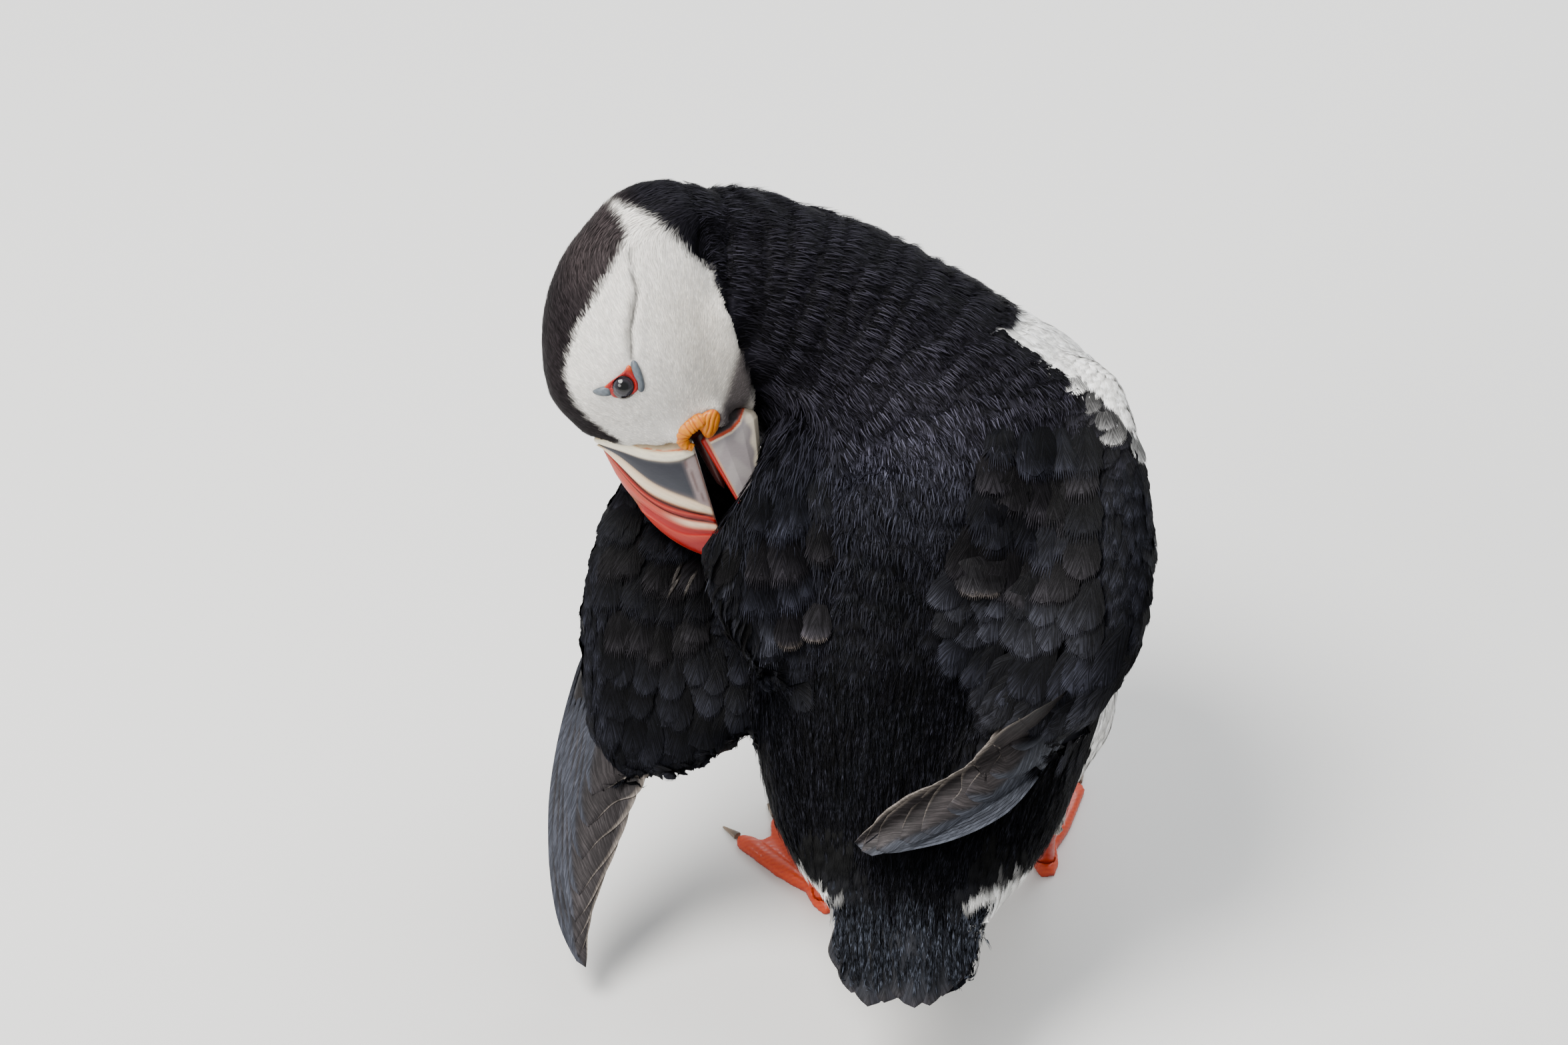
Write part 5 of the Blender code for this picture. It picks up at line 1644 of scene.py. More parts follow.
def make_coats(skin, black, vaned, white):
    middle = skin.co[skin.tri].mean(1)
    slope = slope_of(middle)
    pale = underside_white(slope)
    body = in_parts(skin, "trunk", "neck")
    combed = [vane_shape(k, fringe=21, neck=0.42, sweep=0.42, fray=0.6) for k in range(4)]
    rounded = [vane_shape(10 + k, fringe=21, neck=0.5, sweep=0.24, fray=0.5) for k in range(4)]
    covert = [vane_shape(20 + k, fringe=17, neck=0.55, sweep=0.10, fray=0.5) for k in range(4)]
    strand = [feather_shape(3, 30 + k, sweep=0.55, thick=0.10, fray=0.2, tip=1.0, neck=0.3) for k in range(4)]
    made = []

    def dark(place):
        return body_tone(place, np.ones(len(place)))

    def light(place):
        return body_tone(place, np.zeros(len(place)))

    def piece(name, material, *layers):
        made.append(feather_object(name, layers, material))

    smooth = [vane_shape(40 + k, fringe=25, neck=0.55, sweep=0.05, fray=0.4) for k in range(4)]
    soft = {"cup": 0.2, "vary": 0.12, "shade": 0.75}

    def raised(place):
        """Feathers stand up in rows across the bend of the neck, and less over the back."""
        return 1.1 + 1.2 * plumage_row(slope_of(place))

    outward = (skin.normal[skin.tri].mean(1) @ OUT) > 0.30
    head = head_of(middle)
    off_face = (face_white(head) < -1.2) | (np.linalg.norm(head * (1, 1, 0.6), axis=1) > 50) | (head[:, 2] < 0)
    neck = in_parts(skin, "neck") * (slope[:, 1] > 100) * (pale < 0.6) * off_face
    piece("coat_neck", black, scattered(
        skin, neck, 2.3, 7.5, 2.8, (0.2, raised), dark, 100, combed, **soft))
    lie = skin.lie[skin.tri].mean(1)
    white_tip = np.maximum.reduce([breast_white(slope_of(middle + unit(lie) * far * MM)) for far in (2, 5)])
    clear = (white_tip < 0.5) & (breast_white(slope) < 0.5)
    mantle = in_parts(skin, "trunk") * (slope[:, 1] > 66) * (pale < 0.6) * clear
    piece("coat_mantle", black, scattered(
        skin, mantle, 3.0, 11.0, 4.0, (0.3, raised), lambda p: 1.7 * dark(p), 200, combed, **soft))
    station, angle = trunk_places(slope)[:2]
    vent = in_parts(skin, "trunk") * (angle > 60) * (angle < 92) * (station > 0.3) * (station < 1.5)
    rump = in_parts(skin, "trunk") * (slope[:, 1] <= 66) * (pale < 0.6) * (1 - vent)
    rump = rump * (signed_distance(slope[:, :2], UNDER_WING) < 0)
    piece("coat_rump", black, scattered(skin, rump, 2.9, 13.0, 4.0, (0.3, 1.5), dark, 300, combed, **soft),
          scattered(skin, rump * (slope[:, 0] < 44), 2.4, 13.0, 0.9, (0.8, 2.3), dark, 310, strand, shade=0.9))
    arm = in_parts(skin, "wing_right_arm")
    belly = np.maximum(body * (pale >= 0.6), np.maximum(body, arm) * (breast_white(slope) >= 0.5))
    tips = slope_of(middle + unit(lie) * 4 * MM)
    shoulder = (breast_white(slope) >= 0.5) & (breast_white(tips) > 0.4)
    belly = belly * ~(breast_white(slope) >= 0.5)
    pale_look = {"cup": 0.15, "deep": (0.06, 0.5), "shade": 0.15, "vary": 0.04}
    piece("coat_underparts", white, scattered(skin, belly, 2.8, 8.0, 3.0, (0.1, 0.8), light, 400, combed, **pale_look),
          scattered(skin, np.maximum(body, arm) * shoulder, 2.0, 5.5, 1.9, (0.1, 0.8), light, 420, combed, **pale_look),
          scattered(skin, vent, 2.6, 10.0, 2.0, (0.6, 2.4), light, 440, combed, **pale_look))
    make_wing_rows(skin, vaned, outward, clear, dark, piece, rounded, covert, smooth)
    tail = in_parts(skin, "tail") * (slope[:, 1] > -22)
    piece("coat_tail", black, scattered(skin, tail, 1.6, 12.0, 1.0, (1.6, 2.2),
          lambda p: np.tile((0.038, 0.043, 0.056), (len(p), 1)), 750, strand, shade=0.9))
    thighs = in_parts(skin, "thigh_left", "thigh_right")
    piece("coat_thighs", white, scattered(skin, thighs, 2.4, 6.0, 2.4, (0.1, 1.5),
          lambda p: np.tile(FLANK_GREY, (len(p), 1)) * 1.6, 800, combed, deep=(0.2, 0.5)))
    return made


SOOT, SLATE_BLACK, BROWN_BLACK = (0.0115, 0.0120, 0.0168), (0.0165, 0.0170, 0.0220), (0.0148, 0.0136, 0.0160)
# The wings' rows from below upwards: tips of each row, ways its feathers point, how many, length, half, tone.
RIGHT_ROWS = (
    (((30.3, 30.6), (35, 32.5), (40.5, 34), (46, 38.5)), ((-0.67, -0.74), (-0.5, -0.86)), 6, 24, 1.9, SOOT),
    (((5.7, 56.2), (7.9, 52.0), (12.7, 48.0), (17, 44.6), (25.9, 43.0), (34.7, 44.5), (42, 48.5), (49, 50.5)),
     ((-0.90, -0.42), (-0.88, -0.47), (-0.85, -0.52), (-0.65, -0.76)), 12, 24, 3.4, SLATE_BLACK),
    (((2.1, 63.5), (5.0, 57.2), (17, 54.4), (27.3, 51.8), (36, 51.6), (45, 54.8), (53, 57)),
     ((-0.80, -0.60), (-0.62, -0.78), (-0.50, -0.87), (-0.50, -0.87)), 11, 21, 4.2, SOOT),
    (((2.1, 70.1), (7.0, 65.5), (13.0, 66.0), (21.5, 65.6), (31.7, 63.2), (41, 61.6), (51, 63.2)),
     ((-0.70, -0.71), (-0.45, -0.89), (-0.30, -0.95), (-0.30, -0.95)), 10, 18, 4.8, SLATE_BLACK),
    (((2.8, 76.3), (8.3, 73.1), (14.9, 74.4), (23.7, 73.6), (31, 72.6), (40.5, 69.8), (50, 70)),
     ((-0.55, -0.83), (-0.30, -0.95), (-0.15, -0.99), (-0.15, -0.99)), 9, 16, 5.2, SLATE_BLACK),
    (((10, 84), (19.3, 81.4), (27, 78.2), (36, 77.0), (45, 79), (53, 83)),
     ((-0.25, -0.97), (-0.05, -1.0), (0.0, -1.0)), 7, 19, 5.8, BROWN_BLACK),
    (((14, 95), (22, 90.5), (31, 88), (39, 86), (46, 88.6), (53, 93)),
     ((-0.20, -0.98), (0.0, -1.0), (0.05, -1.0)), 6, 20, 6.0, SOOT),
    (((18, 106), (26, 102), (34, 99), (43, 98), (51, 103)), ((-0.15, -0.99), (0.05, -1.0)), 6, 19, 5.6, BROWN_BLACK),
    (((23, 117), (31, 113), (40, 110), (49, 113)), ((-0.10, -0.99), (0.10, -0.99)), 5, 18, 5.2, SOOT),
)
LEFT_ROWS = (
    (((-91, 37.5), (-85.3, 34.5), (-78.3, 31.4), (-68.6, 30.4), (-62.1, 31.2), (-54.7, 34.5), (-49.2, 41.0)),
     ((0.08, -1.0), (0.0, -1.0), (-0.12, -1.0)), 8, 20, 4.6, SOOT),
    (((-94.1, 43.0), (-86.2, 44.3), (-77, 42.2), (-65.9, 43.2), (-56.6, 45.6), (-47.3, 53.5)),
     ((0.08, -1.0), (0.0, -1.0), (-0.12, -1.0)), 9, 18, 4.3, SOOT),
    (((-93.5, 55.8), (-85.3, 52.6), (-76.0, 51.6), (-65.9, 51.8), (-56.6, 52.4), (-46.4, 58.6)),
     ((0.05, -1.0), (-0.08, -1.0), (-0.15, -1.0)), 9, 17, 4.2, SOOT),
    (((-90, 64.5), (-82.5, 62.4), (-74.2, 61.4), (-64.9, 61.0), (-54.7, 61.5)),
     ((-0.05, -1.0), (-0.15, -1.0), (-0.20, -1.0)), 7, 16, 4.4, BROWN_BLACK),
    (((-93, 76), (-86.2, 72.6), (-77.9, 70.6), (-67.7, 70.8), (-60, 73)),
     ((-0.25, -0.95), (-0.40, -0.92), (-0.40, -0.92)), 7, 16, 4.4, SOOT),
    (((-95, 87), (-88, 82.6), (-80, 80.0), (-71, 80.5), (-64, 84)),
     ((-0.45, -0.90), (-0.62, -0.78), (-0.62, -0.78)), 7, 16, 4.2, BROWN_BLACK),
    (((-94, 98), (-88, 93), (-81, 90.5), (-73, 92)), ((-0.55, -0.83), (-0.70, -0.70)), 6, 15, 4.0, SOOT),
)
FLAP_ROWS = (
    (((-63.6, 80), (-60, 71), (-54.7, 65.0), (-48, 62.0), (-41.5, 63.6), (-36, 67.5)),
     ((-0.35, -0.94), (-0.10, -1.0), (0.22, -0.97)), 8, 18, 4.4, SLATE_BLACK),
    (((-64.4, 87), (-58.5, 77.0), (-50, 72.6), (-42, 73.5), (-34, 77)),
     ((-0.30, -0.95), (-0.05, -1.0), (0.15, -1.0)), 7, 18, 4.8, SOOT),
    (((-63.6, 94.5), (-57.0, 86.5), (-48.5, 83.5), (-40, 84.5), (-31, 88)),
     ((-0.30, -0.95), (-0.05, -1.0), (0.12, -1.0)), 7, 18, 5.0, BROWN_BLACK),
    (((-59.5, 104), (-53.5, 97), (-46, 94.5), (-37, 96), (-29, 99)),
     ((-0.35, -0.94), (-0.10, -1.0), (0.10, -1.0)), 7, 17, 4.6, SOOT),
)
PALE_RIM = (0.12, 0.10, 0.085)


def make_wing_rows(skin, black, outward, clear, dark, piece, rounded, covert, smooth):
    """The wings' and the shoulder flap's feathers, in rows that overlap downwards."""
    upper = ("trunk", "wing_right_arm", "wing_right_hand")
    flap = in_parts(skin, "scapular_left")
    layer = placed(Layer(), skin, ("scapular_left",), in_rows(FLAP_LINE, 4.6, 5.0, 26, 0.006, 505), 13.0, 3.6,
                   (0.4, 1.6), dark, 510, rounded, shade=0.6)
    for k, (tips, ways, count, length, half, tone) in enumerate(FLAP_ROWS):
        fan(layer, skin, ("trunk", "scapular_left"), tips, ways, count, length, half, (1.2, 2.4 + 0.15 * k), tone,
            520 + k, rounded, shade=0.4)
    fan(layer, skin, ("trunk", "scapular_left"), ((-40, 66), (-33, 67)), ((0.1, -1.0), (-0.1, -1.0)), 2, 13, 5.0,
        (1.6, 3.2), BROWN_BLACK, 530, smooth, rim=0.7, rim_tone=PALE_RIM)
    piece("coat_shoulder_flap", black, layer,
          scattered(skin, flap * ~outward, 3.2, 10.0, 4.0, (0.3, 1.3), dark, 500, rounded, edge=0.4, cup=0.3))
    right = in_parts(skin, "wing_right_arm") * clear
    spots = [p for p in in_rows(((55, 121), (58, 108), (57, 92), (55, 80)), 6.2, 2.7, 9, 0.02, 605, 0.3)
             if breast_white(np.array([[p[0], p[1] - 5, 60.0]]))[0] < 0.5]
    layer = placed(Layer(), skin, upper, spots, 15.0, 1.7, (0.6, 2.2), SOOT, 610, rounded, shade=0.6)
    for k, (tips, ways, count, length, half, tone) in enumerate(RIGHT_ROWS):
        tips = [(min(x, 48), y) for x, y in tips]
        high = (1.6, 3.2, 3.0, 2.8, 2.8, 2.6, 2.2, 1.9, 1.6)[k]
        fan(layer, skin, upper, tips, ways, count, length, half, (high, high + 1.5), 0.75 * np.array(tone), 620 + k,
            smooth if k < 6 else rounded, shade=0.3)
    fan(layer, skin, upper, ((14.5, 81.4), (18.5, 80.6)), ((0.25, -0.97), (0.15, -1.0)), 2, 14, 5.6, (3.0, 4.8),
        (0.020, 0.019, 0.021), 640, smooth, rim=0.5, rim_tone=PALE_RIM)
    piece("coat_wing_right", black, layer,
          scattered(skin, right, 3.4, 10.0, 3.8, (0.3, 1.4), dark, 600, smooth, edge=0.5, cup=0.3))
    left = in_parts(skin, "wing_left_arm")
    lower = ("wing_left_arm", "wing_left_hand", "scapular_left", "trunk")
    layer = placed(Layer(), skin, ("wing_left_arm",), in_rows(((-97, 100), (-101, 78), (-99, 56), (-97, 44)), 6.0, 2.4,
                   7, 0.02, 705, 0.3), 14.0, 1.6, (0.6, 2.2), SOOT, 710, rounded, shade=0.6)
    for k, (tips, ways, count, length, half, tone) in enumerate(LEFT_ROWS):
        fan(layer, skin, lower, tips, ways, count, length, half, (0.9 + 0.1 * k, 2.2 + 0.12 * k), 0.5 * np.array(tone), 720 + k,
            smooth if k < 3 else rounded, shade=0.3)
    fan(layer, skin, lower, ((-54, 30), (-51, 31)), ((-0.2, -1.0), (0.0, -1.0)), 2, 16, 3.0, (-1.0, 0.0),
        (0.13, 0.12, 0.11), 740, smooth)
    # Three thin pale feathers on the left arm: a painted highlight.
    fan(layer, skin, lower, ((-77, 83.1), (-76, 84)), ((-0.74, -0.67), (-0.70, -0.70)), 3, 13, 0.5, (1.5, 3.0),
        (0.040, 0.036, 0.033), 745, smooth, shade=0.1, deep=(0.9, 0.2))
    piece("coat_wing_left", black, layer,
          scattered(skin, left, 3.4, 9.0, 3.6, (0.3, 1.2), dark, 700, smooth, edge=0.3, cup=0.3))


# ---------------------------------------------------------------- flight and tail feathers

SLATE, BROWN, PALE_EDGE = (0.040, 0.043, 0.055), (0.038, 0.034, 0.037), (0.18, 0.155, 0.135)
# As (across, along): the outer edges of both closed wings from the wrist on, and the feathers' tips.
LEFT_EDGE = ((-101, 66), (-106, 50), (-109.1, 36.4), (-111.2, 23.3), (-111.4, 3.9), (-109, -13.1), (-103.3, -27.7))
LEFT_TIPS = (
    (-98.4, 22.5), (-99.6, 13.0), (-101.4, 3.2), (-102.2, -7.5), (-103.4, -15.5), (-103.4, -21.5), (-102.4, -26.0),
    (-100.2, -29.0),
)
RIGHT_EDGE = (
    (47, 51), (43, 45.5), (39, 39.5), (34.0, 32.5), (25.6, 23.0), (14.8, 16.4), (3.2, 12.0), (-8, 9.6), (-17, 8.6),
)
RIGHT_TIPS = (
    (24.7, 39.1), (18.5, 31.5), (11.4, 25.5), (6.0, 21.4), (-1.4, 14.6), (-7.6, 12.3), (-14.4, 9.2), (-18.6, 8.8),
    (-20.6, 11.2),
)
TAIL_TIPS = (
    (-25.0, -26.5), (-21.5, -32.5), (-16.8, -36.3), (-12.0, -35.2), (-7.6, -34.0), (-3.2, -36.6), (1.2, -36.0),
    (5.0, -33.4), (8.6, -30.6), (11.4, -26.0),
)


class Sheet:
    """A smooth surface fitted to one face of a thin part: out, over across and along."""

    def __init__(self, skin, name, face):
        slope = slope_of(skin.co)
        rows = (skin.part == FLESH.index(name)) & (skin.normal @ OUT * face > 0.35)
        self.face, self.middle = face, slope[rows].mean(0)
        self.terms = np.linalg.lstsq(self.basis(slope[rows, :2]), slope[rows, 2], rcond=None)[0]

    def basis(self, flat):
        a, b = (flat[..., 0] - self.middle[0]) / 30, (flat[..., 1] - self.middle[1]) / 30
        return np.stack((np.ones_like(a), a, b, a * a, a * b, b * b, b**3), -1)

    def out(self, flat):
        return self.basis(flat) @ self.terms


def flight_feather(layer, skin, sheet, shaft, outer, inner, taper, high, tones, seed, outer_side=1.0):
    """One long feather over a sheet, from its root to its tip, its outer vane on the given side of its way.

    taper is over how many millimetres before the tip the inner vane narrows.
    """
    rng = np.random.default_rng(seed)
    rows = 34
    line = curve_through(shaft, rows)
    way = unit(np.gradient(line, axis=0))
    side = np.stack((-way[:, 1], way[:, 0]), 1) * outer_side
    run = np.concatenate(([0], np.cumsum(np.linalg.norm(np.diff(line, axis=0), axis=1))))
    left = run[-1] - run
    start, inner_start = smoothstep(-8, 6, run), smoothstep(-2, 24, run)
    x = np.array((-1, -0.98, -0.88, -0.6, -0.3, -0.06, 0.06, 0.4, 0.8, 1.0))
    inner_wide = inner * inner_start * np.sin(np.pi / 2 * np.clip(left / taper, 0, 1)) ** 0.85
    outer_wide = outer * start * np.sin(np.pi / 2 * np.clip(left / 4.0, 0, 1)) ** 0.7
    across = np.where(x < 0, x * inner_wide[:, None], x * outer_wide[:, None])
    flat = line[:, None] + side[:, None] * across[..., None]
    arch = 0.10 * np.exp(-((x / 0.12) ** 2)) - 0.35 * x**2
    wave = 0.12 * np.sin(run * 0.21 + seed)[:, None] * np.abs(x)
    sunk = 5.0 * smoothstep(24, 8, run)[:, None] * smoothstep(0.4, -0.2, x)
    out = sheet.out(flat) + sheet.face * (high + arch + wave - sunk)
    inner_tone, outer_tone, rim_tone = (np.array(t, float) for t in tones)
    tone = mixed(inner_tone, outer_tone, smoothstep(-0.1, 0.1, x)[None] + 0 * across)
    tone = mixed(tone, inner_tone * 0.45, (np.abs(x) < 0.1)[None] * 0.7 + 0 * across)
    tone = tone * (1.15 - 0.4 * smoothstep(0, -0.9, x)[None, :, None] + 0.12 * rng.normal())
    tone = mixed(tone, rim_tone, (x < -0.97)[None] * (smoothstep(0.0, 3.0, left) * smoothstep(30, 16, left))[:, None])
    # Painted shade: darker over the first 26 mm from the root, which is sunk under the coverts.
    tone = tone * (0.35 + 0.65 * smoothstep(6, 26, run))[:, None, None]
    tone = mixed(tone, BROWN, (smoothstep(4.0, 0.0, left) * 0.6)[:, None] + 0 * across)
    vane = np.stack((np.abs(across), run[:, None] + 0 * across, np.full(across.shape, rng.random())), -1)
    root = skin.snap(on_slope(np.append(line[rows // 3], sheet.out(line[rows // 3])))[None])[3][0]
    patch = root + np.stack((x[None] * 0.5 + 0.5 + 0 * across, np.linspace(0, 1, rows)[:, None] + 0 * across), -1) * BAKE_PATCH
    index = np.arange(rows * len(x)).reshape(rows, len(x))
    quads = np.stack((index[:-1, :-1], index[:-1, 1:], index[1:, 1:], index[1:, :-1]), -1).reshape(-1, 4)
    place = on_slope(np.concatenate((flat, out[..., None]), -1).reshape(-1, 3))
    none = np.zeros((0, 3), int)
    layer.add(place[None], tone.reshape(1, -1, 3), vane.reshape(1, -1, 3), patch.reshape(1, -1, 2), none, quads, 1)


def along_edge(edge, tip, offset, outer_side, gap=9.0):
    """A shaft that follows an edge at an offset inwards and then runs to its own tip."""
    line = curve_through(edge, 60)
    way = unit(np.gradient(line, axis=0))
    side = np.stack((-way[:, 1], way[:, 0]), 1) * outer_side
    shaft = line - side * offset
    far = np.linalg.norm(shaft - np.array(tip), axis=1)
    stop = max(int(far.argmin()) - int(gap / np.linalg.norm(line[1] - line[0])), 4)
    return [*shaft[:stop:7], shaft[stop], tip]


def make_hand_left(skin, material):
    layer = Layer()
    for face in (1, -1):
        sheet = Sheet(skin, "wing_left_hand", face)
        for k, tip in enumerate(LEFT_TIPS):
            deep = 7 - k
            shaft = along_edge(LEFT_EDGE, tip, 1.3 + 1.45 * deep, -1.0)
            taper = 12 + 5.2 * k
            high = 0.75 + (0.30 * deep if face > 0 else 0.22 * k)
            rim = mixed(PALE_EDGE, (0.62, 0.56, 0.46), 0.6 * (k == 7))
            tones = (mixed(BROWN, (0.05, 0.043, 0.040), 0.35), SLATE, rim)
            flight_feather(layer, skin, sheet, shaft, 1.7, 16.0 + 0.3 * deep, taper, high, tones, 40 + k, -1.0)
    return feather_object("flight_feathers_left", [layer], material)


def make_hand_right(skin, material):
    layer = Layer()
    for face in (1, -1):
        sheet = Sheet(skin, "wing_right_hand", face)
        for k, tip in enumerate(RIGHT_TIPS):
            deep = 8 - k
            shaft = along_edge(RIGHT_EDGE, tip, 1.6 + 0.75 * deep, 1.0, gap=7.0)
            taper = 10 + 1.5 * k
            high = 0.75 + (0.32 * deep if face > 0 else 0.22 * k)
            tones = (mixed(BROWN, (0.055, 0.047, 0.045), 0.5), (0.048, 0.052, 0.064), PALE_EDGE)
            flight_feather(layer, skin, sheet, shaft, 2.6, 10.5 + 0.3 * k, taper, high, tones, 60 + k)
    return feather_object("flight_feathers_right", [layer], material)


def make_tail(skin, material):
    layer = Layer()
    middle = 4.6
    for face in (1, -1):
        sheet = Sheet(skin, "tail", face)
        for k, tip in enumerate(TAIL_TIPS):
            deep = middle - abs(k - middle)
            root = (-4.5 + (k - middle) * 1.6, 8.0)
            half_way = (0.5 * (root[0] + tip[0]) + (k - middle) * 0.5, -13.0)
            tones = ((0.020, 0.021, 0.026), (0.020, 0.021, 0.027), (0.040, 0.036, 0.035))
            high = 0.4 + 0.28 * (deep if face > 0 else 5 - deep)
            flight_feather(layer, skin, sheet, (root, half_way, tip), 5.0, 5.0, 6.0, high, tones, 80 + k,
                           1.0 if k < middle else -1.0)
    return feather_object("tail_feathers", [layer], material)


# ---------------------------------------------------------------- legs and feet

FOOT_RED, FOOT_ORANGE, FOOT_UNDERSIDE_SHADE = (0.44, 0.012, 0.001), (0.62, 0.070, 0.003), (0.26, 0.008, 0.002)


def fine_copy(name, node, voxel, rounds, relief, tone_of, finish):
    """A node's form, remeshed finely, rounded, and given small relief and tones of its own."""
    obj = add_object(name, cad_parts[node].data.copy())
    obj.data.materials.clear()
    remesh = obj.modifiers.new("fine", "REMESH")
    remesh.mode = "VOXEL"
    remesh.voxel_size = voxel * MM
    mesh = evaluated_mesh(obj)
    bpy.data.objects.remove(obj)
    co, edges = places_of(mesh), edges_of(mesh)
    co = neighbour_mean(co, edges, rounds)
    mesh.vertices.foreach_set("co", co.astype(np.float32).ravel())
    mesh.update()
    normal = normals_of(mesh)
    height = relief(co / MM, normal)
    co = co + normal * height[:, None] * MM
    mesh.vertices.foreach_set("co", co.astype(np.float32).ravel())
    mesh.update()
    tone = np.clip(tone_of(co / MM, normal, height), 0, 1)
    store(mesh, "tone", np.concatenate((tone, np.ones((len(tone), 1))), 1))
    mesh.shade_smooth()
    return add_object(name, mesh, finish)


def scutes(points, normal):
    """Low plates across the toes and up the shank, with a fine grain between them."""
    run = points[:, 1] * 0.94 - points[:, 0] * 0.25 + points[:, 2] * 0.8
    plate = np.abs(np.sin(run * 1.9 + 0.6 * np.sin(points[:, 0] * 0.9))) ** 0.6
    grain = np.sin(points[:, 0] * 5.1 + np.sin(points[:, 1] * 4.0)) * np.sin(points[:, 1] * 5.7)
    return 0.16 * (plate - 0.6) + 0.035 * grain


def foot_tone(points, normal, height):
    # Painted shade: darker where the surface faces down.
    low = smoothstep(0.25, -0.4, normal[:, 2])
    tone = mixed(FOOT_ORANGE, FOOT_RED, np.clip(0.55 - 3.2 * height, 0, 1))
    return mixed(tone, FOOT_UNDERSIDE_SHADE, 0.65 * low)


def claw_tone(points, normal, height):
    tall = smoothstep(0.8, 3.4, points[:, 2])
    return mixed((0.22, 0.16, 0.11), (0.022, 0.018, 0.018), tall)


def no_relief(points, normal):
    return 0.03 * np.sin(points[:, 0] * 4) * np.sin(points[:, 1] * 3 + points[:, 2] * 4)


def make_legs(skin_finish, horn_finish):
    for side in ("left", "right"):
        for kind in ("tarsus", "foot"):
            node = kind + "_" + side
            piece = fine_copy(node + "_fine", node, 0.55, 4, scutes, foot_tone, skin_finish)
            shown(piece, "foot_skin", node)
        for toe in ("inner", "middle", "outer"):
            node = "claw_" + side + "_" + toe
            piece = fine_copy(node + "_fine", node, 0.28, 3, no_relief, claw_tone, horn_finish)
            shown(piece, "claw_horn", node)


# ---------------------------------------------------------------- camera, light and floor


def add_camera():
    data = bpy.data.cameras.new("camera")
    data.lens, data.sensor_width, data.clip_start = 115.0, 36.0, 0.01
    camera = bpy.data.objects.new("camera", data)
    bpy.context.scene.collection.objects.link(camera)
    camera.location = Vector(on_slope((-41, 104, 50)) + OUT * 1.503)
    camera.rotation_euler = Vector(-OUT).to_track_quat("-Z", "Y").to_euler()
    bpy.context.scene.camera = camera


def add_light(name, place, size, power, colour=(1.0, 1.0, 1.0)):
    data = bpy.data.lights.new(name, "AREA")
    data.shape, data.size, data.energy, data.color = "DISK", size, power, colour
    light = bpy.data.objects.new(name, data)
    bpy.context.scene.collection.objects.link(light)
    light.location = place
    light.rotation_euler = (Vector((0, 0, 0.1)) - Vector(place)).to_track_quat("-Z", "Y").to_euler()


def add_stage():
    floor_finish = Finish("floor_pale")
    material = floor_finish.close(Base_Color=(0.80, 0.79, 0.77, 1.0), Roughness=0.9, Specular_IOR_Level=0.2)
    half = 6.0
    corners = [(-half, -half, 0), (half, -half, 0), (half, half, 0), (-half, half, 0)]
    floor = add_object("floor", new_mesh("floor", corners, [[(0, 1, 2, 3)]], smooth=False), material)
    add_light("key", (-0.7, -0.1, 1.5), 0.9, 40.0, (1.0, 0.985, 0.96))
    add_light("sky", (0.5, 0.9, 1.2), 1.2, 20.0, (0.92, 0.96, 1.0))
    add_light("fill", (-1.3, -1.1, 1.2), 0.9, 15.0, (1.0, 0.98, 0.95))
    world = bpy.data.worlds.new("studio")
    world.use_nodes = True
    world.node_tree.nodes["Background"].inputs["Color"].default_value = (0.95, 0.97, 1.0, 1.0)
    world.node_tree.nodes["Background"].inputs["Strength"].default_value = 0.58
    bpy.context.scene.world = world


# ---------------------------------------------------------------- the whole bird


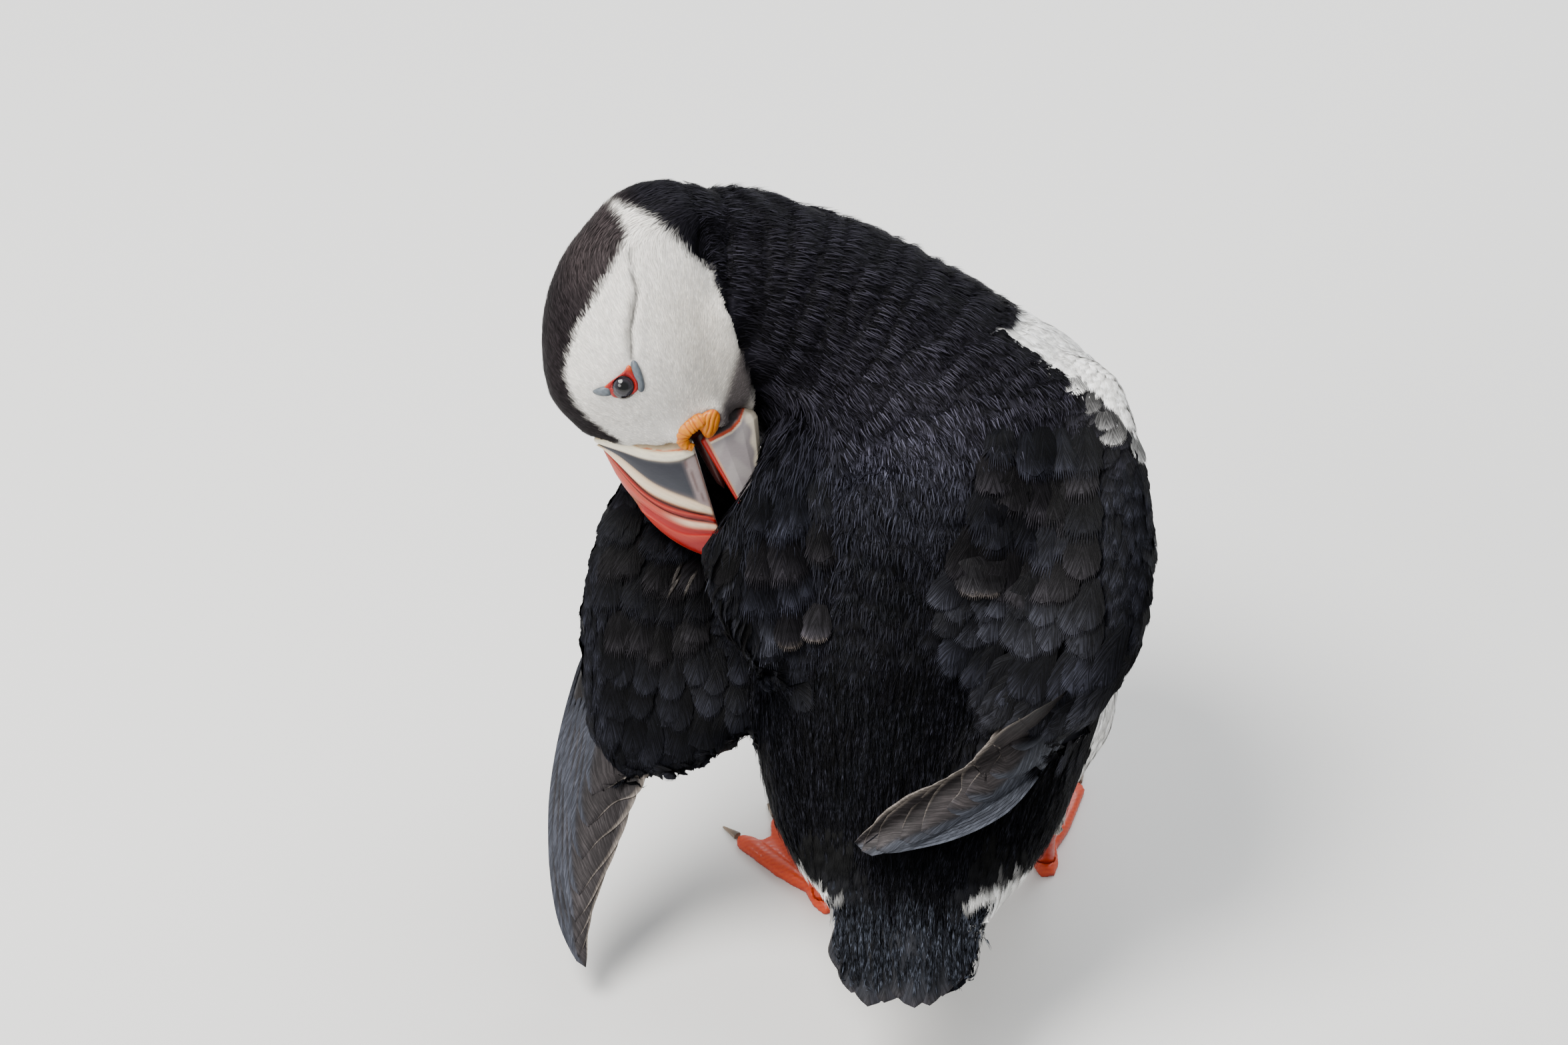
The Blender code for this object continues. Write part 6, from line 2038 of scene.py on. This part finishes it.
def make_hair(skin, dark, pale, hair):
    tuft, group = velvet_tuft(), scatter_tree()
    head = head_of(skin.co)
    near = np.linalg.norm(head * (1, 1, 0.6), axis=1) < 46
    is_head = skin.part == FLESH.index("head")
    white = face_white(head) > 0
    on_neck = (skin.part == FLESH.index("neck")) & near & white & (np.abs(head[:, 2]) > 2) & (head[:, 0] > -20) & (head[:, 1] > -25)
    outlines = [signed_distance(head[:, :2], line) for line in (LID_OUTLINE, LOWER_PLATE, UPPER_PLATE)]
    gap = np.maximum.reduce(outlines)
    gap = np.where(np.abs(head[:, 2]) > 8, gap, -9)
    cover = smoothstep(0.1, -0.5, gap) * (1 - near_rosette(head))
    size = (0.45 + 0.55 * smoothstep(0.0, -5.0, gap)) * (0.55 + 0.45 * smoothstep(34, 20, head[:, 0]))
    size = size * (0.75 + 0.40 * smoothstep(10, -25, head[:, 0]))
    size = np.where(white, size * (0.6 + 0.4 * smoothstep(0.2, 3.0, face_white(head))), size)
    size = np.where(on_neck | (white & (head[:, 1] < -20) & (head[:, 0] < 28)), size * 0.6, size)
    jobs = (("coat_face", (is_head & white) | on_neck, 2.7, pale, "plumage_white"),
            ("coat_crown", is_head & ~white, 3.0, dark, "plumage_black"))
    for seed, (name, where, length, finish, slot) in enumerate(jobs):
        shown(velvet(name, skin, where, cover, size, 0.55, length, 0.40, 0.5, seed, finish, tuft, group), slot)
    slope = slope_of(skin.co)
    black = (underside_white(slope) < 0.5) & (breast_white(slope) < 0.5)
    black &= (signed_distance(slope[:, :2], COVERTS_OUTLINE) < 0) & ((skin.part != FLESH.index("scapular_left")) |
                                                                     (slope[:, 1] > 88))
    pale_skin = (fetch(skin.mesh, "tone")[:, 0] > 0.07).astype(float)
    open_cover = (neighbour_mean(pale_skin, edges_of(skin.mesh), 1) < 0.02).astype(float)
    black &= (signed_distance(slope[:, :2], UNDER_WING) < 0) | (slope[:, 2] < 70)
    open_size = np.ones(len(head))
    jobs = (("coat_neck_hair", "neck", 0.9, 4.4), ("coat_back_hair", "trunk", 1.2, 5.0),
            ("coat_flap_hair", "scapular_left", 1.1, 6.5))
    for seed, (name, part, spacing, length) in enumerate(jobs):
        where = (skin.part == FLESH.index(part)) & black & ~on_neck
        made = velvet(name, skin, where, open_cover, open_size, spacing, length, 0.32, 0.50, 20 + seed, hair[seed],
                      tuft, group, above=(1.2, 1.0, 1.3)[seed])
        shown(made, "plumage_black")
    bpy.data.objects.remove(tuft)


def make_face(skin, horn, wet, ball):
    shown(make_bill_upper(horn), "bill_horn", "bill_upper")
    shown(make_bill_lower(horn), "bill_horn", "bill_lower")
    shown(make_gape(wet), "gape_skin")
    for name, side in (("left", 1), ("right", -1)):
        cheek = Cheek(skin, side, EYE_MIDDLE, 3.5, 9.0)
        shown(make_lids("lids_" + name, cheek, wet), "gape_skin")
        shown(make_eyeball("eyeball_" + name, side, ball), "eye", "eye_" + name)
        corner = Cheek(skin, side, (35, -6), 0.0, 8.0)
        shown(make_rosette("rosette_fine_" + name, corner, wet), "gape_skin", "rosette_" + name)


def make_bird():
    skin_object = make_skin()
    black = plumage_finish("plumage_black", 0.03, 0.45, barbs=0.85)
    covert = plumage_finish("plumage_covert", 0.05, 0.42, barbs=0.6, grain=3.0, gain=1.1)
    white = plumage_finish("plumage_white", 0.15, 0.75, barbs=0.12)
    flight = plumage_finish("flight_feather", 0.12, 0.45, barbs=0.35)
    velvet_dark = plumage_finish("velvet_black", 0.06, 0.55, velvet=3.2)
    velvet_pale = plumage_finish("velvet_white", 0.15, 0.75, velvet=0.8)
    hair = [plumage_finish("velvet_body", 0.05, 0.45, velvet=4.6, gain=1.2),
            *2 * [plumage_finish("velvet_back", 0.05, 0.45, velvet=4.8, gain=1.7)]]
    skin_object.data.materials.append(black)
    skin = Skin(skin_object.data)
    make_hair(skin, velvet_dark, velvet_pale, hair)
    make_face(skin, glossy_finish("bill_horn", 0.40, 0.12, 0.10), glossy_finish("gape_skin", 0.45, 0.08, 0.12),
              glossy_finish("eye", 0.10, 0.45, 0.02))
    for coat in make_coats(skin, black, covert, white):
        pale = coat.name in ("coat_underparts", "coat_thighs")
        shown(coat, "plumage_white" if pale else "plumage_black")
    shown(make_hand_left(skin, flight), "flight_feather")
    shown(make_hand_right(skin, flight), "flight_feather")
    shown(make_tail(skin, flight), "flight_feather")
    make_legs(glossy_finish("foot_skin", 0.45, 0.15, 0.15), glossy_finish("claw_horn", 0.35, 0.2, 0.15))
    shown(skin_object, "plumage_black", *FLESH)


add_camera()
add_stage()
make_bird()
